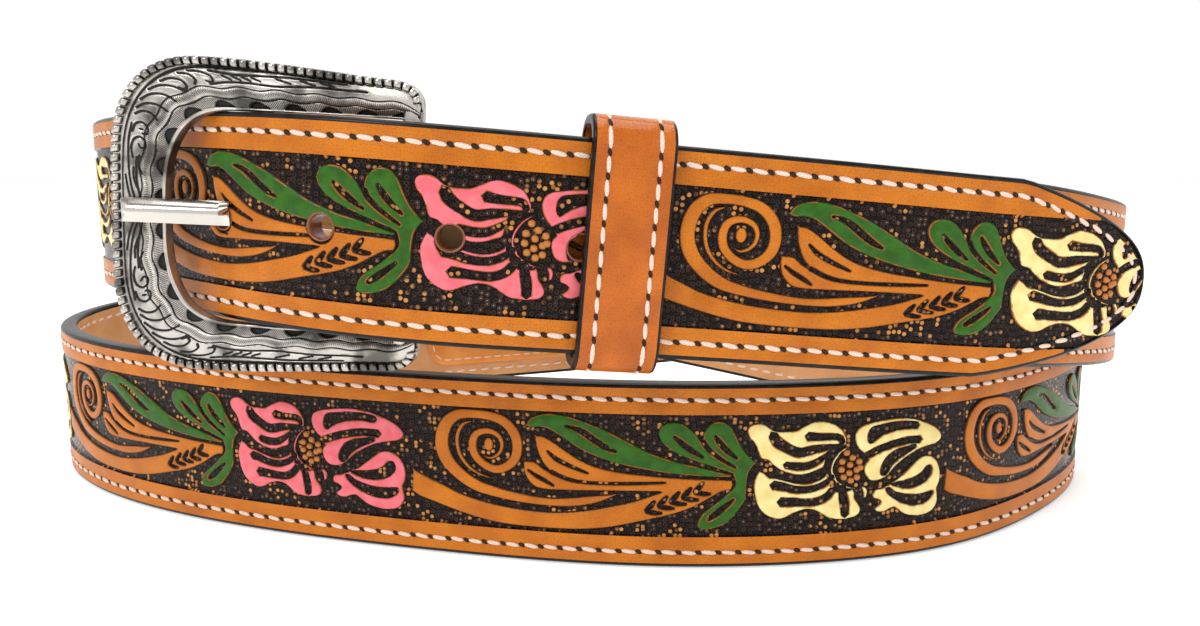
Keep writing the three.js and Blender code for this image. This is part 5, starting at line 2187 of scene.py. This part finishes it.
@dataclass
class Stage:
    """The plain pale floor, the soft studio light and the photograph's camera."""

    camera_height: float = 82.75
    camera_place: tuple[float, float] = (7.278, -248.79)
    pitch: float = 9.0
    lens: float = 30.0

    def build(self) -> None:
        """Set the stage."""
        scene = bpy.context.scene
        select()
        bpy.ops.mesh.primitive_plane_add(size=8.0, location=(0, 0, -0.0002))
        floor = bpy.context.active_object
        floor.name = "studio_floor"
        bench = Bench("pale_floor")
        bench.shader.inputs["Emission Color"].default_value = (1.0, 1.0, 1.0, 1.0)
        bench.shader.inputs["Emission Strength"].default_value = 0.42
        pale = bench.finish(colour=(0.93, 0.93, 0.93), roughness=0.85, specular=0.1)
        floor.data.materials.append(pale)
        data = bpy.data.cameras.new("camera")
        data.lens = self.lens
        data.sensor_width = 36.0
        data.clip_start = 0.01
        camera = bpy.data.objects.new("camera", data)
        camera.location = [v * MM for v in (*self.camera_place, self.camera_height)]
        camera.rotation_euler = (math.radians(90 - self.pitch), 0, 0)
        scene.collection.objects.link(camera)
        scene.camera = camera
        world = bpy.data.worlds.new("studio")
        world.use_nodes = True
        self.sky(world.node_tree)
        scene.world = world
        scene.view_settings.view_transform = "Standard"
        self.lamp("key", (-0.55, -0.75, 0.85), 0.4, 5.5)
        self.lamp("fill", (0.75, -0.65, 0.5), 0.5, 1.2)
        self.lamp("top", (0.0, 0.1, 1.1), 0.8, 8.0)
        self.lamp("back", (0.3, 0.8, 0.7), 0.6, 1.0)

    @staticmethod
    def sky(tree: bpy.types.NodeTree) -> None:
        """Make the studio white all round and dim overhead, for metal and gloss to show."""
        split = tree.nodes.new("ShaderNodeSeparateXYZ")
        tree.links.new(tree.nodes.new("ShaderNodeTexCoord").outputs["Generated"], split.inputs[0])
        ramp = tree.nodes.new("ShaderNodeMapRange")
        ramp.interpolation_type = "SMOOTHSTEP"
        for number, value in ((1, 0.3), (2, 0.8), (3, 1.02), (4, 0.4)):
            ramp.inputs[number].default_value = value
        tree.links.new(split.outputs[2], ramp.inputs[0])
        tree.links.new(ramp.outputs[0], tree.nodes["Background"].inputs[1])
        tree.nodes["Background"].inputs[0].default_value = (1.0, 1.0, 1.0, 1.0)

    @staticmethod
    def lamp(name: str, place: Colour, size: float, power: float) -> None:
        """Hang a soft square lamp that looks at the belt."""
        data = bpy.data.lights.new(name, "AREA")
        data.size = size
        data.energy = power
        lamp = bpy.data.objects.new(name, data)
        lamp.location = place
        lamp.rotation_euler = (Vector((0, 0, 0.05)) - Vector(place)).to_track_quat("-Z", "Y").to_euler()
        bpy.context.scene.collection.objects.link(lamp)


def main() -> None:
    """Dress the belt."""
    logging.basicConfig(level=logging.INFO, format="%(message)s")
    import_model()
    select()
    Stage().build()

    tan = Leather("tan_leather", (0.53, 0.156, 0.006), (0.41, 0.108, 0.003))
    tan_raised = Leather("tan_raised", (0.53, 0.156, 0.006), (0.41, 0.108, 0.003), raised=True)
    matt = {"roughness": 0.55, "coat": 0.05, "pores": 0.25}
    lining = Leather("lining_tan", (0.60, 0.33, 0.155), (0.52, 0.27, 0.115), **matt)
    satin = {"roughness": 0.5, "coat": 0.1, "pores": 0.3}
    patch = Leather("patch_orange", (0.72, 0.30, 0.070), (0.62, 0.22, 0.040), **satin)
    keeper = Leather("keeper_tan", (0.50, 0.122, 0.005), (0.36, 0.076, 0.002), coat=0.3)
    edge = PaintedEdge().make()
    ground = SeededGround().make()
    thread = Thread("stitch_thread", (0.76, 0.59, 0.48)).make()
    # Near-black finish for the pricks: painted shade in the stitch holes.
    hole_shade = Plain("stitch_hole_shade", (0.02, 0.010, 0.006), 0.6).make()
    bead = Plain("bead_tan", (0.46, 0.155, 0.022), 0.3, coat=0.4).make()
    rim = Plain("burnished_rim", (0.20, 0.062, 0.022), 0.3, coat=0.4).make()

    coil = Coil()
    body = StrapBody(coil)
    lining_finish = lining.make()
    strap = body.build([edge, tan.make(), ground, lining_finish])
    inner = LiningBody(coil).build([lining_finish, edge])
    tooling = Tooling(coil, body)
    holes = Holes(coil, tooling)
    holes.cut([strap, inner])
    belong(strap, "tooled_strap", "tooled_strap")
    belong(inner, "lining", "lining")
    finishes = {
        Motif.TAN: tan_raised.make(),
        Motif.GREEN: Paint("green_paint", (0.026, 0.112, 0.005), (0.015, 0.070, 0.003)).make(),
        Motif.PINK: Paint("pink_paint", (0.76, 0.165, 0.190), (0.66, 0.115, 0.140)).make(),
        Motif.CREAM: Paint("cream_paint", (0.79, 0.67, 0.30), (0.70, 0.55, 0.20)).make(),
    }
    for piece in tooling.build(finishes):
        belong(piece, "tooled_strap")
    belong(tooling.beads(bead), "tooled_strap")
    belong(holes.rims(rim), "tooled_strap")
    for piece in Stitching(coil).build(thread, hole_shade):
        belong(piece, "tooled_strap")

    silver = AntiqueSilver().make()
    polished = PolishedSilver().make()
    frame = BuckleFrame(coil)
    belong(frame.build(silver), "buckle_frame", "buckle_frame")
    belong(frame.rope(silver), "buckle_frame")
    belong(Prong(frame).build(polished), "prong", "prong")
    loop = Keeper(coil)
    belong(loop.build([keeper.make(), edge]), "keeper", "keeper")
    for piece in loop.stitches(thread, hole_shade):
        belong(piece, "keeper")
    label, seam = Patch(coil).build(patch.make(), thread)
    belong(label, "label_patch", "label_patch")
    belong(seam, "label_patch")


if __name__ == "__main__":
    main()
